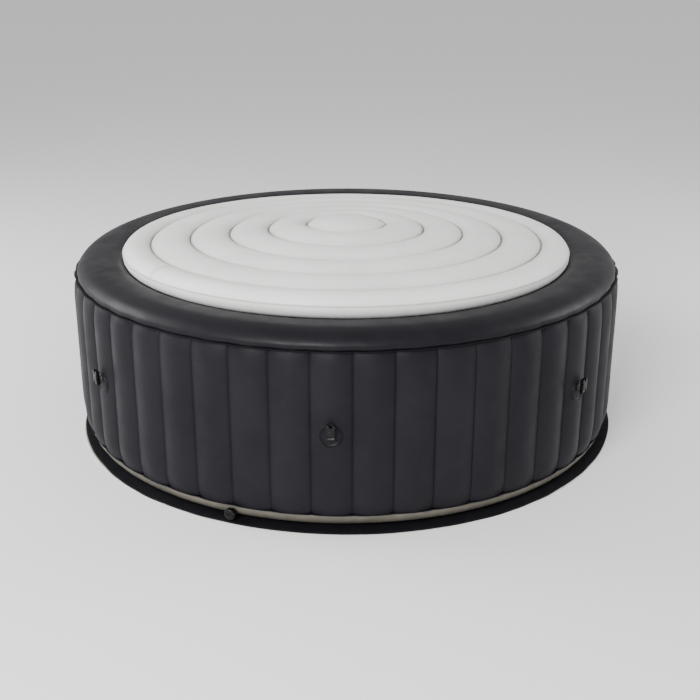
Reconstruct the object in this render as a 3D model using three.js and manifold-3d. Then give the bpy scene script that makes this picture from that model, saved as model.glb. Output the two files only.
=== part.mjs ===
// Inflatable hot tub: a round air-filled PVC wall with vertical ribs, an inflatable lid resting on its rim,
// a ground mat below, seven strap buckles round the wall, and a built-in control unit in the rear wall.
// Millimetres, +Z up, front towards -Y. The origin is on the ground at the centre of the tub.
// Azimuth is measured from the front (-Y) towards +X.
import * as THREE from 'three';
import { mergeVertices } from 'three/addons/utils/BufferGeometryUtils.js';
import Module from 'manifold-3d';

const wasm = await Module();
wasm.setup();

// ---- driving sizes -------------------------------------------------------------------------------------
const TUB_RADIUS = 1020;         // outer edge of the upper weld flange
const SEAM_HEIGHT = 612;         // middle of the upper weld flange
const RIM_RISE = 57;             // crest of the rim above the upper weld flange
const RIM_CREST_INSET = 99;      // crest of the rim inwards from the flange edge
const WELL_RADIUS = 800;         // inner face of the inner wall
const BASE_TOP = 54;             // top of the rounded base skin
const BASE_FOOT_INSET = 78;      // where the base skin meets the ground mat, inwards from the flange edge
const RIB_COUNT = 48;
const RIB_DEPTH = 16;            // valley below crest at mid height
const RIB_DEPTH_AT_SEAM = 9;     // valley below crest at both welds
const WALL_BULGE = 18;           // how far the wall bellies out beyond its seams

const SKIN = 3;                  // thickness of every wall skin
const WELD_THICKNESS = 3;
const WELD_WIDTH = 17;           // how far the upper weld flange stands out
const BASE_WELD_WIDTH = 10;
const GAP = 0.3;                 // between pieces that touch
const WEB_THICKNESS = 1.5;

const MAT_MARGIN = 8;              // ground mat beyond the flange edge
const MAT_FOIL = 1.2;
const MAT_FOAM = 3.5;
const BOTTOM_THICKNESS = 2;
const FLOOR_THICKNESS = 37.5;
const CHANNEL_WIDTH = 35;
const CHANNEL_HEIGHT = 30;

const LID_OVERLAP = 30;            // how far the lid reaches out over the rim from the inner wall
const LID_OUTER_RING = 103;        // outermost groove inwards from the edge of the lid
const LID_RING_COUNT = 4;        // full rings between the centre dome and the outer ring
const LID_CENTRE_RISE = 76;        // first groove above the middle of the outer ring
const LID_EDGE_GROOVE_RISE = 31;   // outermost groove above the middle of the outer ring
const LID_DOME_RISE = 37;
const LID_RING_SWELL = 17;       // crest of a ring above the line between its two grooves
const LID_EDGE_WIDTH = 50;       // half width of the outer ring
const LID_EDGE_HALF_HEIGHT = 43;
const LID_EDGE_SEAT = 45.346;      // middle of the outer ring above the rim under its back edge
const LID_SKIN = 4;
const LID_FRONT_RISE = 27.52;      // the front edge rides up on the rim
const LID_FORWARD = 20;

const BUCKLE_COUNT = 7;
const RIBS_PER_BUCKLE = 7;
const BUCKLE_HEIGHT = 338;       // centre of the round patch
const PATCH_RADIUS = 38;
const BUCKLE_WIDTH = 30;
const BUCKLE_LENGTH = 50;
const BUCKLE_THICKNESS = 13;
const BUCKLE_STAND_OFF = 7;      // from the patch to the back of the buckle

const DRAIN_AZIMUTH_DEG = -19;
const DRAIN_HEIGHT = 30;
const DRAIN_CAP_RADIUS = 20;
const DRAIN_BORE = 12;
const DRAIN_WALL = 2;
const DRAIN_CAP_PROUD = 4;         // face of the cap beyond the flange edge
const DRAIN_CAP_DEPTH = 17.5;
const SUMP_HALF = 26;
const AIR_VALVE_AZIMUTH_DEG = 135;
const AIR_VALVE_HEIGHT = 440;
const AIR_VALVE_RADIUS = 27;
const AIR_VALVE_PROUD = 3.5;       // face of the collar beyond the rib
const AIR_VALVE_DEPTH = 40;

const UNIT_WIDTH = 380;
const UNIT_BOTTOM = 100;
const UNIT_HEIGHT = 424;
const UNIT_CLEARANCE = 28;         // from the inner face of the well to the back of the pocket
const UNIT_PROUD = 4;              // mouth of the pocket beyond the flange edge
const UNIT_SKIN = 3;
const COVER_THICKNESS = 8;
const LOUVRE_COUNT = 7;
const LOUVRE_PITCH = 22;
const LOUVRE_HEIGHT = 9;
const LOUVRE_HALF = 120;
const PUMP_X = -90;
const PUMP_Z = 230;
const RETURN_Z = 430;
const PUMP_SETBACK = 87;           // pump and blower in front of the back of the pocket
const BLOWER_X = 92;
const BLOWER_Z = 200;
const AIR_NECK_DROP = 50;          // air neck below the axis of the blower
const FILTER_RADIUS = 56;
const FILTER_CLEARANCE = 36;       // from the wall of the well to the filter
const NOZZLE_RADIUS = 32;
const NOZZLE_DEPTH = 16;
const NOZZLE_CLEARANCE = 2.6;      // from the round wall to the corner of the flat flange

const ROUND = 48;                // sides of the large plain rings
const LID_ROUND = 48;            // sides of the lid
const SMALL_ROUND = 16;          // sides of the small round pieces
const RIB_STEPS = 4;             // sides of one rib

// ---- helpers ---------------------------------------------------------------------------------------------
const tub = new THREE.Group();
tub.name = 'inflatable_hot_tub';

const rad = THREE.MathUtils.degToRad;

const finishes = {
  wall_vinyl: [0x303036, 0.45, 0],
  rim_vinyl: [0x2b2b31, 0.45, 0],
  base_vinyl: [0x96907f, 0.6, 0],
  liner_vinyl: [0x6d6f74, 0.5, 0],
  lid_vinyl: [0xdcdbd8, 0.5, 0],
  mat_foam: [0x141418, 0.8, 0],
  mat_foil: [0xb5b3a8, 0.35, 1],
  weld_tape: [0x0c0c0f, 0.5, 0],
  black_plastic: [0x18181a, 0.4, 0],
  unit_plastic: [0x3a3b3f, 0.5, 0],
  panel_plastic: [0x101114, 0.2, 0],
  button_rubber: [0x8d9096, 0.6, 0],
  metal_tube: [0xb9bcc0, 0.3, 1],
  filter_paper: [0xe6e8ea, 0.8, 0],
  board: [0x1d5a36, 0.5, 0],
};

// A three.js geometry as a manifold solid, wound so that its faces point outwards.
function toSolid(geometry) {
  const plain = geometry.clone();
  plain.deleteAttribute('normal');
  plain.deleteAttribute('uv');
  const merged = mergeVertices(plain, 1e-4);
  const positions = merged.attributes.position.array;
  const corners = Array.from(merged.index.array);
  const kept = [];
  let volume = 0;
  for (let i = 0; i < corners.length; i += 3) {
    const [a, b, c] = corners.slice(i, i + 3);
    if (a !== b && b !== c && c !== a) {
      kept.push(a, b, c);
      const [p, q, r] = [a, b, c].map((n) => new THREE.Vector3().fromArray(positions, n * 3));
      volume += p.dot(q.cross(r));
    }
  }
  if (volume < 0) kept.reverse();
  const mesh = new wasm.Mesh({
    numProp: 3,
    vertProperties: new Float32Array(positions),
    triVerts: new Uint32Array(kept),
  });
  return new wasm.Manifold(mesh);
}

// Adds one finished solid to the tub as a named mesh.
function add(name, finish, solid) {
  const cut = solid.getMesh();
  const geometry = new THREE.BufferGeometry();
  geometry.setAttribute('position', new THREE.BufferAttribute(new Float32Array(cut.vertProperties), 3));
  geometry.setIndex(new THREE.BufferAttribute(new Uint32Array(cut.triVerts), 1));
  const flat = geometry.toNonIndexed();
  flat.computeVertexNormals();
  const [color, roughness, metalness] = finishes[finish];
  const material = new THREE.MeshStandardMaterial({ color, roughness, metalness });
  material.name = finish;
  const mesh = new THREE.Mesh(flat, material);
  mesh.name = name;
  tub.add(mesh);
}

// A solid turned about the tub axis from a closed outline of [radius, height] points.
function turned(outline, sides = ROUND) {
  const points = outline.map(([r, z]) => new THREE.Vector2(r, z));
  if (outline[0][0] > 0) points.push(points[0].clone());
  return new THREE.LatheGeometry(points, sides).rotateX(Math.PI / 2);
}

const ring = (inside, outside, low, high, sides = ROUND) => toSolid(
  turned([[inside, low], [outside, low], [outside, high], [inside, high]], sides),
);
const disc = (radius, low, high) => toSolid(turned([[0, low], [radius, low], [radius, high], [0, high]]));

function box(x0, x1, y0, y1, z0, z1) {
  const geometry = new THREE.BoxGeometry(x1 - x0, y1 - y0, z1 - z0);
  geometry.translate((x0 + x1) / 2, (y0 + y1) / 2, (z0 + z1) / 2);
  return toSolid(geometry);
}

// A round bar along X, Y or Z between two stations on that axis.
function bar(axis, a, b, radius, at, sides = SMALL_ROUND) {
  const geometry = new THREE.CylinderGeometry(radius, radius, b - a, sides);
  const middle = (a + b) / 2;
  if (axis === 'x') geometry.rotateZ(Math.PI / 2).translate(middle, at[0], at[1]);
  if (axis === 'y') geometry.translate(at[0], middle, at[1]);
  if (axis === 'z') geometry.rotateX(Math.PI / 2).translate(at[0], at[1], middle);
  return toSolid(geometry);
}

// A bar that points straight out from the tub axis at the front, from radius a to radius b.
const outwardBar = (a, b, radius, height, x = 0) => bar('y', -b, -a, radius, [x, height]);

const union = (solids) => solids.reduce((all, next) => all.add(next));

// The same outline moved inwards by one skin, end points moved along the given directions.
function offsetOutline(points, thickness, startStep, endStep) {
  const moved = (point, step) => [point[0] + step[0] * thickness, point[1] + step[1] * thickness];
  return points.map((point, i) => {
    if (i === 0) return moved(point, startStep);
    if (i === points.length - 1) return moved(point, endStep);
    const before = new THREE.Vector2(point[0] - points[i - 1][0], point[1] - points[i - 1][1]).normalize();
    const after = new THREE.Vector2(points[i + 1][0] - point[0], points[i + 1][1] - point[1]).normalize();
    const along = before.clone().add(after).normalize();
    const stretch = thickness / Math.max(along.dot(after), 0.5);
    return [point[0] - along.y * stretch, point[1] + along.x * stretch];
  });
}

// ---- heights and radii that follow from the sizes --------------------------------------------------------
const foilTop = MAT_FOIL;
const matBottom = foilTop + GAP;
const matTop = matBottom + MAT_FOAM;
const bottomZ = matTop + GAP;
const bottomTop = bottomZ + BOTTOM_THICKNESS;
const innerFoot = bottomTop + GAP;
const floorTop = innerFoot + FLOOR_THICKNESS;
const baseWeldZ = BASE_TOP + GAP;
const wallBottom = baseWeldZ + WELD_THICKNESS + GAP;
const topWeldZ = SEAM_HEIGHT - WELD_THICKNESS / 2;
const wallTop = topWeldZ - GAP;
const rimBottom = topWeldZ + WELD_THICKNESS + GAP;
const seamRadius = TUB_RADIUS - WELD_WIDTH;
const crestZ = SEAM_HEIGHT + RIM_RISE;
const crestRadius = TUB_RADIUS - RIM_CREST_INSET;
const innerTop = wallTop - 12;
const matRadius = TUB_RADIUS + MAT_MARGIN;
const lidRadius = WELL_RADIUS + LID_OVERLAP;
const lidRingWidth = (lidRadius - LID_OUTER_RING) / (LID_RING_COUNT + 1);
const lidTiltDeg = THREE.MathUtils.radToDeg(Math.asin(LID_FRONT_RISE / lidRadius));
const unitBack = WELL_RADIUS + UNIT_CLEARANCE;
const unitFront = TUB_RADIUS + UNIT_PROUD;
const unitMid = unitBack + PUMP_SETBACK;
const wellWallAt = (x) => Math.sqrt(WELL_RADIUS ** 2 - x ** 2);

// ---- the air wall ----------------------------------------------------------------------------------------
// Crest radius and rib depth at each height of the outer wall.
const wallLevels = [0, 0.08, 0.5, 0.92, 1].map((share) => {
  const z = wallBottom + (wallTop - wallBottom) * share;
  const belly = 1 - Math.pow(Math.abs(2 * share - 1), 10);
  const depth = RIB_DEPTH_AT_SEAM + (RIB_DEPTH - RIB_DEPTH_AT_SEAM) * Math.min(1, belly * 1.2);
  return { z, crest: seamRadius - 2 + WALL_BULGE * belly, depth };
});
const wallInside = (level) => level.crest - level.depth - SKIN;

// Any size of the wall levels, read off at a height between two of them.
function wallAt(z, size) {
  const i = Math.max(1, wallLevels.findIndex((one) => one.z >= z));
  const [a, b] = [wallLevels[i - 1], wallLevels[i]];
  return THREE.MathUtils.mapLinear(z, a.z, b.z, size(a), size(b));
}

// The ribbed outer shape, swollen by a clearance so that patches can be fitted to it.
function ribbedBody(clearance) {
  const outline = [[0, wallLevels[0].z]];
  for (const level of wallLevels) outline.push([level.crest + clearance, level.z]);
  outline.push([0, wallLevels.at(-1).z]);
  const geometry = turned(outline, RIB_COUNT * RIB_STEPS);
  const position = geometry.attributes.position;
  for (let i = 0; i < position.count; i++) {
    const x = position.getX(i);
    const y = position.getY(i);
    const radius = Math.hypot(x, y);
    if (radius > 1) {
      const level = wallLevels.find((one) => Math.abs(one.z - position.getZ(i)) < 0.01);
      const turns = Math.atan2(x, -y) / (2 * Math.PI) * RIB_COUNT;
      const across = 2 * (turns - Math.round(turns));
      const scale = (radius - level.depth * across * across) / radius;
      position.setXY(i, x * scale, y * scale);
    }
  }
  return toSolid(geometry);
}

function wallCore() {
  const outline = [[0, wallBottom - 1]];
  for (const level of wallLevels) {
    const z = level === wallLevels[0] ? wallBottom - 1 : level.z;
    outline.push([wallInside(level), level === wallLevels.at(-1) ? wallTop + 1 : z]);
  }
  outline.push([0, wallTop + 1]);
  const geometry = turned(outline, RIB_COUNT);
  return toSolid(geometry.rotateZ(Math.PI / RIB_COUNT));
}

const unitHalf = UNIT_WIDTH / 2;
const unitTop = UNIT_BOTTOM + UNIT_HEIGHT;
const airValveNeck = AIR_VALVE_RADIUS - 6;
const airValveCrest = wallAt(AIR_VALVE_HEIGHT, (level) => level.crest);

function outerWall() {
  const outside = unitFront + WALL_BULGE;
  const window = box(-unitHalf - GAP, unitHalf + GAP, unitBack, outside, UNIT_BOTTOM - GAP, unitTop + GAP);
  const valveHole = outwardBar(airValveCrest - AIR_VALVE_DEPTH, outside, airValveNeck + GAP, AIR_VALVE_HEIGHT)
    .rotate([0, 0, AIR_VALVE_AZIMUTH_DEG]);
  return ribbedBody(0).subtract(wallCore()).subtract(window).subtract(valveHole);
}

const innerWallOutside = WELL_RADIUS + SKIN;
const suctionNeck = 16;
const returnNeck = 14;
const airNeck = 11;
const airNeckZ = BLOWER_Z - AIR_NECK_DROP;
const drainOutside = DRAIN_BORE + DRAIN_WALL;
const throughWell = [WELL_RADIUS - 40, WELL_RADIUS + 40];  // radii that clear the inner wall on both sides

// The three necks that run from the unit through the wall into the well, swollen by a clearance.
function neckHoles(extra, from, to) {
  return union([
    bar('y', from, to, suctionNeck + extra, [PUMP_X, PUMP_Z]),
    bar('y', from, to, returnNeck + extra, [PUMP_X, RETURN_Z]),
    bar('y', from, to, airNeck + extra, [BLOWER_X, airNeckZ]),
  ]);
}

function innerWall() {
  const band = ring(WELL_RADIUS, innerWallOutside, innerFoot, innerTop);
  const drain = outwardBar(...throughWell, drainOutside + GAP, DRAIN_HEIGHT)
    .rotate([0, 0, DRAIN_AZIMUTH_DEG]);
  return band.subtract(neckHoles(GAP, ...throughWell)).subtract(drain);
}

// Top of the rim as [radius, height] points from the weld flange inwards to the well.
const rimTop = [
  [seamRadius, rimBottom],
  [seamRadius - 4, SEAM_HEIGHT + RIM_RISE * 0.36],
  [seamRadius - 23, SEAM_HEIGHT + RIM_RISE * 0.70],
  [seamRadius - 50, SEAM_HEIGHT + RIM_RISE * 0.91],
  [crestRadius, crestZ],
  [WELL_RADIUS + 68, SEAM_HEIGHT + RIM_RISE * 0.95],
  [WELL_RADIUS + 40, SEAM_HEIGHT + RIM_RISE * 0.75],
  [WELL_RADIUS + 22, SEAM_HEIGHT + RIM_RISE * 0.46],
  [WELL_RADIUS + 8, SEAM_HEIGHT + RIM_RISE * 0.08],
  [WELL_RADIUS, innerTop + GAP],
];

// Height of the rim at a radius on its inner slope.
function rimTopAt(radius) {
  const i = rimTop.findIndex(([r]) => r <= radius);
  const [a, b] = [rimTop[i - 1], rimTop[i]];
  return THREE.MathUtils.mapLinear(radius, a[0], b[0], a[1], b[1]);
}

function topRing() {
  const inside = offsetOutline(rimTop, SKIN, [-1, 0], [1, 0]);
  const kept = inside.filter((_, i) => i === 0 || i % 2 === 0 || i === inside.length - 1);
  return toSolid(turned([...rimTop, ...kept.reverse()]));
}

const footRadius = TUB_RADIUS - BASE_FOOT_INSET;

function baseRing() {
  const rise = BASE_TOP - bottomZ;
  const reach = seamRadius - footRadius;
  const outer = [[footRadius, bottomZ]];
  for (const share of [0.28, 0.55, 0.8]) {
    const angle = share * Math.PI / 2;
    outer.push([footRadius + reach * Math.sin(angle), bottomZ + rise * (1 - Math.cos(angle))]);
  }
  outer.push([seamRadius, BASE_TOP]);
  const inner = offsetOutline(outer, SKIN, [0, BOTTOM_THICKNESS / SKIN], [-1, 0]);
  const hole = outwardBar(footRadius - 12, TUB_RADIUS, drainOutside + GAP, DRAIN_HEIGHT)
    .rotate([0, 0, DRAIN_AZIMUTH_DEG]);
  return toSolid(turned([...outer, ...inner.reverse()])).subtract(hole);
}

// Flat flange, its root sunk between the skins that it joins.
const weldRing = (edge, z) => ring(seamRadius - SKIN - 4, edge, z, z + WELD_THICKNESS);

// Radial webs that tie the inner and outer walls together at every rib valley, joined by one band.
function braceWebs() {
  const bandInside = innerWallOutside + GAP * 3;
  const low = wallBottom + 30;
  const high = wallTop - 40;
  const heights = [low, wallLevels[2].z, high];
  const shape = new THREE.Shape();
  const rootRadius = (bandInside + WEB_THICKNESS / 2) * Math.cos(Math.PI / RIB_COUNT);
  shape.moveTo(rootRadius, low);
  for (const z of heights) shape.lineTo(wallAt(z, wallInside) - 2 * GAP, z);
  shape.lineTo(rootRadius, high);
  shape.closePath();
  const plate = new THREE.ExtrudeGeometry(shape, { depth: WEB_THICKNESS, bevelEnabled: false });
  plate.translate(0, 0, -WEB_THICKNESS / 2).rotateX(Math.PI / 2).rotateZ(-Math.PI / 2);
  const web = toSolid(plate);
  const step = 360 / RIB_COUNT;
  const unitAngle = THREE.MathUtils.radToDeg(Math.atan2(unitHalf, unitBack)) + 1;
  const clearOfUnit = (turn) => Math.abs(turn - 180) > unitAngle;
  const turns = Array.from({ length: RIB_COUNT }, (_, i) => (i + 0.5) * step).filter(clearOfUnit);
  const band = ring(bandInside, bandInside + WEB_THICKNESS, low, high, RIB_COUNT);
  return band.add(union(turns.map((turn) => web.rotate([0, 0, turn]))))
    .subtract(neckHoles(2, ...throughWell));
}

// ---- floor, mat and bubble channel -----------------------------------------------------------------------
const wellFit = WELL_RADIUS - 1.5;

// Notch in front of the drain, open upwards, that reaches the given length into the well.
function sump(length, low, high) {
  return box(-SUMP_HALF, SUMP_HALF, -WELL_RADIUS - 20, length - WELL_RADIUS, low, high)
    .rotate([0, 0, DRAIN_AZIMUTH_DEG]);
}

function floorPad() {
  const shoulder = 8;
  const pad = toSolid(turned([
    [0, innerFoot],
    [wellFit, innerFoot],
    [wellFit, floorTop - shoulder],
    [wellFit - shoulder, floorTop],
    [0, floorTop],
  ]));
  return pad.subtract(sump(2 * SUMP_HALF, innerFoot + SKIN, floorTop + 1));
}

function bubbleChannel() {
  const foot = floorTop + GAP;
  const outline = [
    [wellFit, foot],
    [wellFit, foot + CHANNEL_HEIGHT],
    [wellFit - CHANNEL_WIDTH * 0.6, foot + CHANNEL_HEIGHT * 0.87],
    [wellFit - CHANNEL_WIDTH, foot + CHANNEL_HEIGHT * 0.4],
    [wellFit - CHANNEL_WIDTH, foot],
  ];
  return toSolid(turned(outline)).subtract(sump(4 * SUMP_HALF, floorTop - 1, foot + CHANNEL_HEIGHT + 1));
}

// ---- the lid ---------------------------------------------------------------------------------------------
const lidEdgeMiddle = lidRadius - LID_EDGE_WIDTH;
const lidEdgeZ = rimTopAt(lidRadius - LID_FORWARD) + LID_EDGE_SEAT;
const lidBottomZ = lidEdgeZ - LID_EDGE_HALF_HEIGHT;
const lidCentreZ = lidEdgeZ + LID_CENTRE_RISE;
const lidEdgeGrooveZ = lidEdgeZ + LID_EDGE_GROOVE_RISE;

// A point of the rounded outer ring, at an angle up from level.
const lidEdgeAt = (turn) => [
  lidEdgeMiddle + LID_EDGE_WIDTH * Math.cos(rad(turn)),
  lidEdgeZ + LID_EDGE_HALF_HEIGHT * Math.sin(rad(turn)),
];

// Top of the lid as [radius, height] points from its axis to its outermost edge, before it is laid down.
function lidTop() {
  const grooves = Array.from({ length: LID_RING_COUNT + 1 }, (_, i) => {
    const share = i / LID_RING_COUNT;
    const drop = (lidCentreZ - lidEdgeGrooveZ) * Math.pow(share, 0.8);
    return [lidRingWidth * (i + 1), lidCentreZ - drop];
  });
  const top = [
    [0, lidCentreZ + LID_DOME_RISE],
    [lidRingWidth * 0.42, lidCentreZ + LID_DOME_RISE * 0.83],
    [lidRingWidth * 0.78, lidCentreZ + LID_DOME_RISE * 0.42],
  ];
  grooves.forEach(([r, z], i) => {
    top.push([r, z]);
    if (i < LID_RING_COUNT) {
      for (const share of [0.26, 0.74]) {
        const base = THREE.MathUtils.lerp(z, grooves[i + 1][1], share);
        top.push([r + lidRingWidth * share, base + LID_RING_SWELL * 0.95]);
      }
    }
  });
  for (const turn of [115, 85, 55, 28, 0]) {
    top.push(lidEdgeAt(turn));
  }
  return top;
}

const lidBottom = () => [...[-30, -60, -90].map(lidEdgeAt), [0, lidBottomZ]];

// Lays anything made level over the tub axis down the way the lid rests on the rim.
const layLid = (solid) => solid
  .translate([0, 0, -lidEdgeZ])
  .rotate([-lidTiltDeg, 0, 0])
  .translate([0, -LID_FORWARD, lidEdgeZ]);

const lidValveY = 560;
const lidValveRadius = 17;
const lidValveHeight = 11;

function lid() {
  const full = toSolid(turned([...lidTop(), ...lidBottom()], LID_ROUND));
  const cavity = toSolid(turned([
    [0, lidBottomZ + LID_SKIN],
    [lidEdgeMiddle, lidBottomZ + LID_SKIN],
    [lidRadius - LID_SKIN * 3, lidEdgeZ],
    [lidEdgeMiddle, lidEdgeZ + LID_EDGE_HALF_HEIGHT - LID_SKIN * 2],
    [lidRadius - LID_OUTER_RING, lidEdgeGrooveZ - LID_SKIN],
    [lidRingWidth, lidCentreZ - LID_SKIN * 2],
    [lidRingWidth * 0.4, lidCentreZ + LID_DOME_RISE * 0.5],
    [0, lidCentreZ + LID_DOME_RISE * 0.6],
  ], LID_ROUND / 2));
  const valveHole = bar('z', lidBottomZ - 5, lidBottomZ + LID_SKIN + 5, 6, [0, lidValveY]);
  return layLid(full.subtract(cavity).subtract(valveHole));
}

function lidValveBody() {
  const top = lidBottomZ - GAP;
  const flange = bar('z', top - 2, top, lidValveRadius, [0, lidValveY]);
  const stem = bar('z', top - lidValveHeight, top - 1, 9, [0, lidValveY]);
  const bore = bar('z', top - lidValveHeight - 1, top + 1, 6, [0, lidValveY]);
  return layLid(flange.add(stem).subtract(bore));
}

function lidValveCap() {
  const low = lidBottomZ - GAP - lidValveHeight - GAP;
  const plate = bar('z', low - 3, low, 11, [0, lidValveY]);
  const plug = bar('z', low - 1, low + 6, 5.4, [0, lidValveY]);
  const tab = box(-5, 5, lidValveY - 20, lidValveY - 8, low - 3, low - 0.5);
  return layLid(plate.add(plug).add(tab));
}

// ---- buckles ---------------------------------------------------------------------------------------------
const patchFront = -(TUB_RADIUS + 3);
const strapHalf = 10;
const barZ = BUCKLE_HEIGHT + 4;

// Round welded patch with a raised rim, shaped to the rib behind it.
function buckleBase() {
  const body = bar('y', patchFront, patchFront + 4 * RIB_DEPTH, PATCH_RADIUS, [0, BUCKLE_HEIGHT]);
  const dish = bar('y', patchFront - 1, patchFront + 1.5, PATCH_RADIUS - 5, [0, BUCKLE_HEIGHT]);
  return body.subtract(dish).subtract(ribbedBody(GAP));
}

const buckleBack = patchFront - BUCKLE_STAND_OFF;
const buckleFront = buckleBack - BUCKLE_THICKNESS;
const barY = (buckleBack + buckleFront) / 2;
const barRadius = 2;

// Webbing loop sewn to the patch and passed round the cross bar at the foot of the buckle.
function buckleStrap() {
  const outer = barRadius + 2.6;
  const tailTop = barZ + outer + 12;
  const tail = 2.5;
  const shape = new THREE.Shape();
  const root = patchFront + 1.2;
  shape.moveTo(root, tailTop);
  shape.lineTo(root, barZ - outer);
  shape.lineTo(barY, barZ - outer);
  shape.absarc(barY, barZ, outer, Math.PI * 1.5, Math.PI / 2, true);
  shape.lineTo(root - tail, barZ + outer);
  shape.lineTo(root - tail, tailTop);
  shape.closePath();
  const sweep = { depth: strapHalf * 2, bevelEnabled: false, curveSegments: 6 };
  const geometry = new THREE.ExtrudeGeometry(shape, sweep);
  geometry.rotateX(Math.PI / 2).rotateZ(Math.PI / 2).translate(-strapHalf, 0, 0);
  return toSolid(geometry).subtract(bar('x', -30, 30, barRadius + 0.5, [barY, barZ], 12));
}

// Waisted outline of the buckle from its foot to its mouth, right half, as [x, height] points.
function buckleSide(low, high) {
  const half = BUCKLE_WIDTH / 2;
  const corner = 4;
  return [
    [half - corner, low],
    [half, low + corner],
    [half - 2, low + 12],
    [half - 2, high - 14],
    [half, high - corner - 1],
    [half - corner, high],
  ];
}

// Female half of a strap buckle, standing up from its webbing with its mouth at the top.
function buckle() {
  const half = BUCKLE_WIDTH / 2;
  const low = barZ - 5;
  const high = low + BUCKLE_LENGTH;
  const side = buckleSide(low, high);
  const outline = [...side, ...side.map(([x, z]) => [-x, z]).reverse()];
  const shape = new THREE.Shape(outline.map(([x, z]) => new THREE.Vector2(x, z)));
  const body = new THREE.ExtrudeGeometry(shape, { depth: BUCKLE_THICKNESS, bevelEnabled: false });
  body.rotateX(Math.PI / 2).translate(0, buckleBack, 0);
  const slotHalf = strapHalf + 1;
  const slotTop = barZ + 7.6;
  const strapSlot = box(-slotHalf, slotHalf, buckleFront - 1, buckleBack + 1, low - 1, slotTop);
  const crossBar = bar('x', -half + 1, half - 1, barRadius, [barY, barZ], 12);
  const mouth = box(-half + 4, half - 4, barY - 3.8, barY + 3.8, high - 26, high + 1);
  const sideWindow = box(-half - 1, half + 1, barY - 3.8, barY + 3.8, high - 22, high - 11);
  return toSolid(body).subtract(strapSlot).add(crossBar).subtract(mouth).subtract(sideWindow);
}

// ---- valves ----------------------------------------------------------------------------------------------
const drainCapFront = TUB_RADIUS + DRAIN_CAP_PROUD;
const drainCapBack = drainCapFront - DRAIN_CAP_DEPTH;

function drainSocket() {
  const pipe = outwardBar(innerWallOutside + 1, drainCapBack - 0.5, drainOutside, DRAIN_HEIGHT);
  const bore = outwardBar(innerWallOutside, drainCapBack, DRAIN_BORE, DRAIN_HEIGHT);
  return pipe.subtract(bore).rotate([0, 0, DRAIN_AZIMUTH_DEG]);
}

function drainCap() {
  const skirt = outwardBar(drainCapBack, drainCapFront, DRAIN_CAP_RADIUS, DRAIN_HEIGHT);
  const plug = outwardBar(drainCapBack - 10.5, drainCapBack + 3.5, DRAIN_BORE - 0.4, DRAIN_HEIGHT);
  const grip = union(Array.from({ length: 6 }, (_, i) => outwardBar(drainCapBack - 1, drainCapFront + 2, 3, 0)
    .translate([DRAIN_CAP_RADIUS + 1, 0, 0])
    .rotate([0, i * 60, 0])
    .translate([0, 0, DRAIN_HEIGHT])));
  return skirt.subtract(grip).add(plug).rotate([0, 0, DRAIN_AZIMUTH_DEG]);
}

function drainPlug() {
  const back = WELL_RADIUS - 2;
  const front = back - 16;
  const head = outwardBar(front, back, drainOutside + 2, DRAIN_HEIGHT);
  const stem = outwardBar(back - 1, back + 4, DRAIN_BORE + 1.6, DRAIN_HEIGHT);
  const pull = box(-2, 2, -front - 0.5, 12 - front, DRAIN_HEIGHT - 8, DRAIN_HEIGHT + 8);
  return head.add(stem).add(pull).rotate([0, 0, DRAIN_AZIMUTH_DEG]);
}

const airValveFace = airValveCrest + AIR_VALVE_PROUD;
const airValveBore = airValveNeck - 4;

function airValveBody() {
  const end = airValveCrest - AIR_VALVE_DEPTH;
  const collar = outwardBar(airValveCrest - RIB_DEPTH, airValveFace, AIR_VALVE_RADIUS, AIR_VALVE_HEIGHT)
    .subtract(ribbedBody(GAP));
  const neck = outwardBar(end, airValveCrest + 1, airValveNeck, AIR_VALVE_HEIGHT);
  const bore = outwardBar(end - 1, airValveFace + 1, airValveBore, AIR_VALVE_HEIGHT);
  return collar.add(neck).subtract(bore).rotate([0, 0, AIR_VALVE_AZIMUTH_DEG]);
}

function airValveCap() {
  const back = airValveFace + 0.4;
  const front = back + 2.4;
  const plate = outwardBar(back, front, AIR_VALVE_RADIUS - 2, AIR_VALVE_HEIGHT);
  const plug = outwardBar(back - 25, back + 1, airValveBore - 0.4, AIR_VALVE_HEIGHT);
  const slot = box(-12, 12, -front - 0.2, 1.2 - front, AIR_VALVE_HEIGHT - 2, AIR_VALVE_HEIGHT + 2);
  return plate.add(plug).subtract(slot).rotate([0, 0, AIR_VALVE_AZIMUTH_DEG]);
}

// ---- control unit ----------------------------------------------------------------------------------------
const pocketInside = unitHalf - UNIT_SKIN;
const housingHalf = pocketInside - GAP;
const housingBack = unitBack + UNIT_SKIN + GAP;
const housingFront = unitFront - 24;
const housingLow = UNIT_BOTTOM + UNIT_SKIN + GAP;
const housingHigh = unitTop - UNIT_SKIN - GAP;
const coverBack = housingFront + GAP;
const coverFront = coverBack + COVER_THICKNESS;
const panelHalf = 75;
const panelLow = housingHigh - 110;
const panelHigh = housingHigh - 40;
const buttonRadius = 8;
const buttonTravel = 1.5;
const buttonZ = panelLow + 18;
const buttonXs = [-45, 0, 45];
const lensHalf = 50;
const lensLow = panelLow + 34;
const lensHigh = panelHigh - 6;
const glandAt = [150, housingLow + 28];
const glandRadius = 10;

function unitPocket() {
  const outside = box(-unitHalf, unitHalf, unitBack, unitFront, UNIT_BOTTOM, unitTop);
  const inside = box(
    -pocketInside, pocketInside,
    unitBack + UNIT_SKIN, unitFront + 1,
    UNIT_BOTTOM + UNIT_SKIN, unitTop - UNIT_SKIN,
  );
  return outside.subtract(inside).subtract(neckHoles(GAP, unitBack - 5, unitBack + 10));
}

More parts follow.
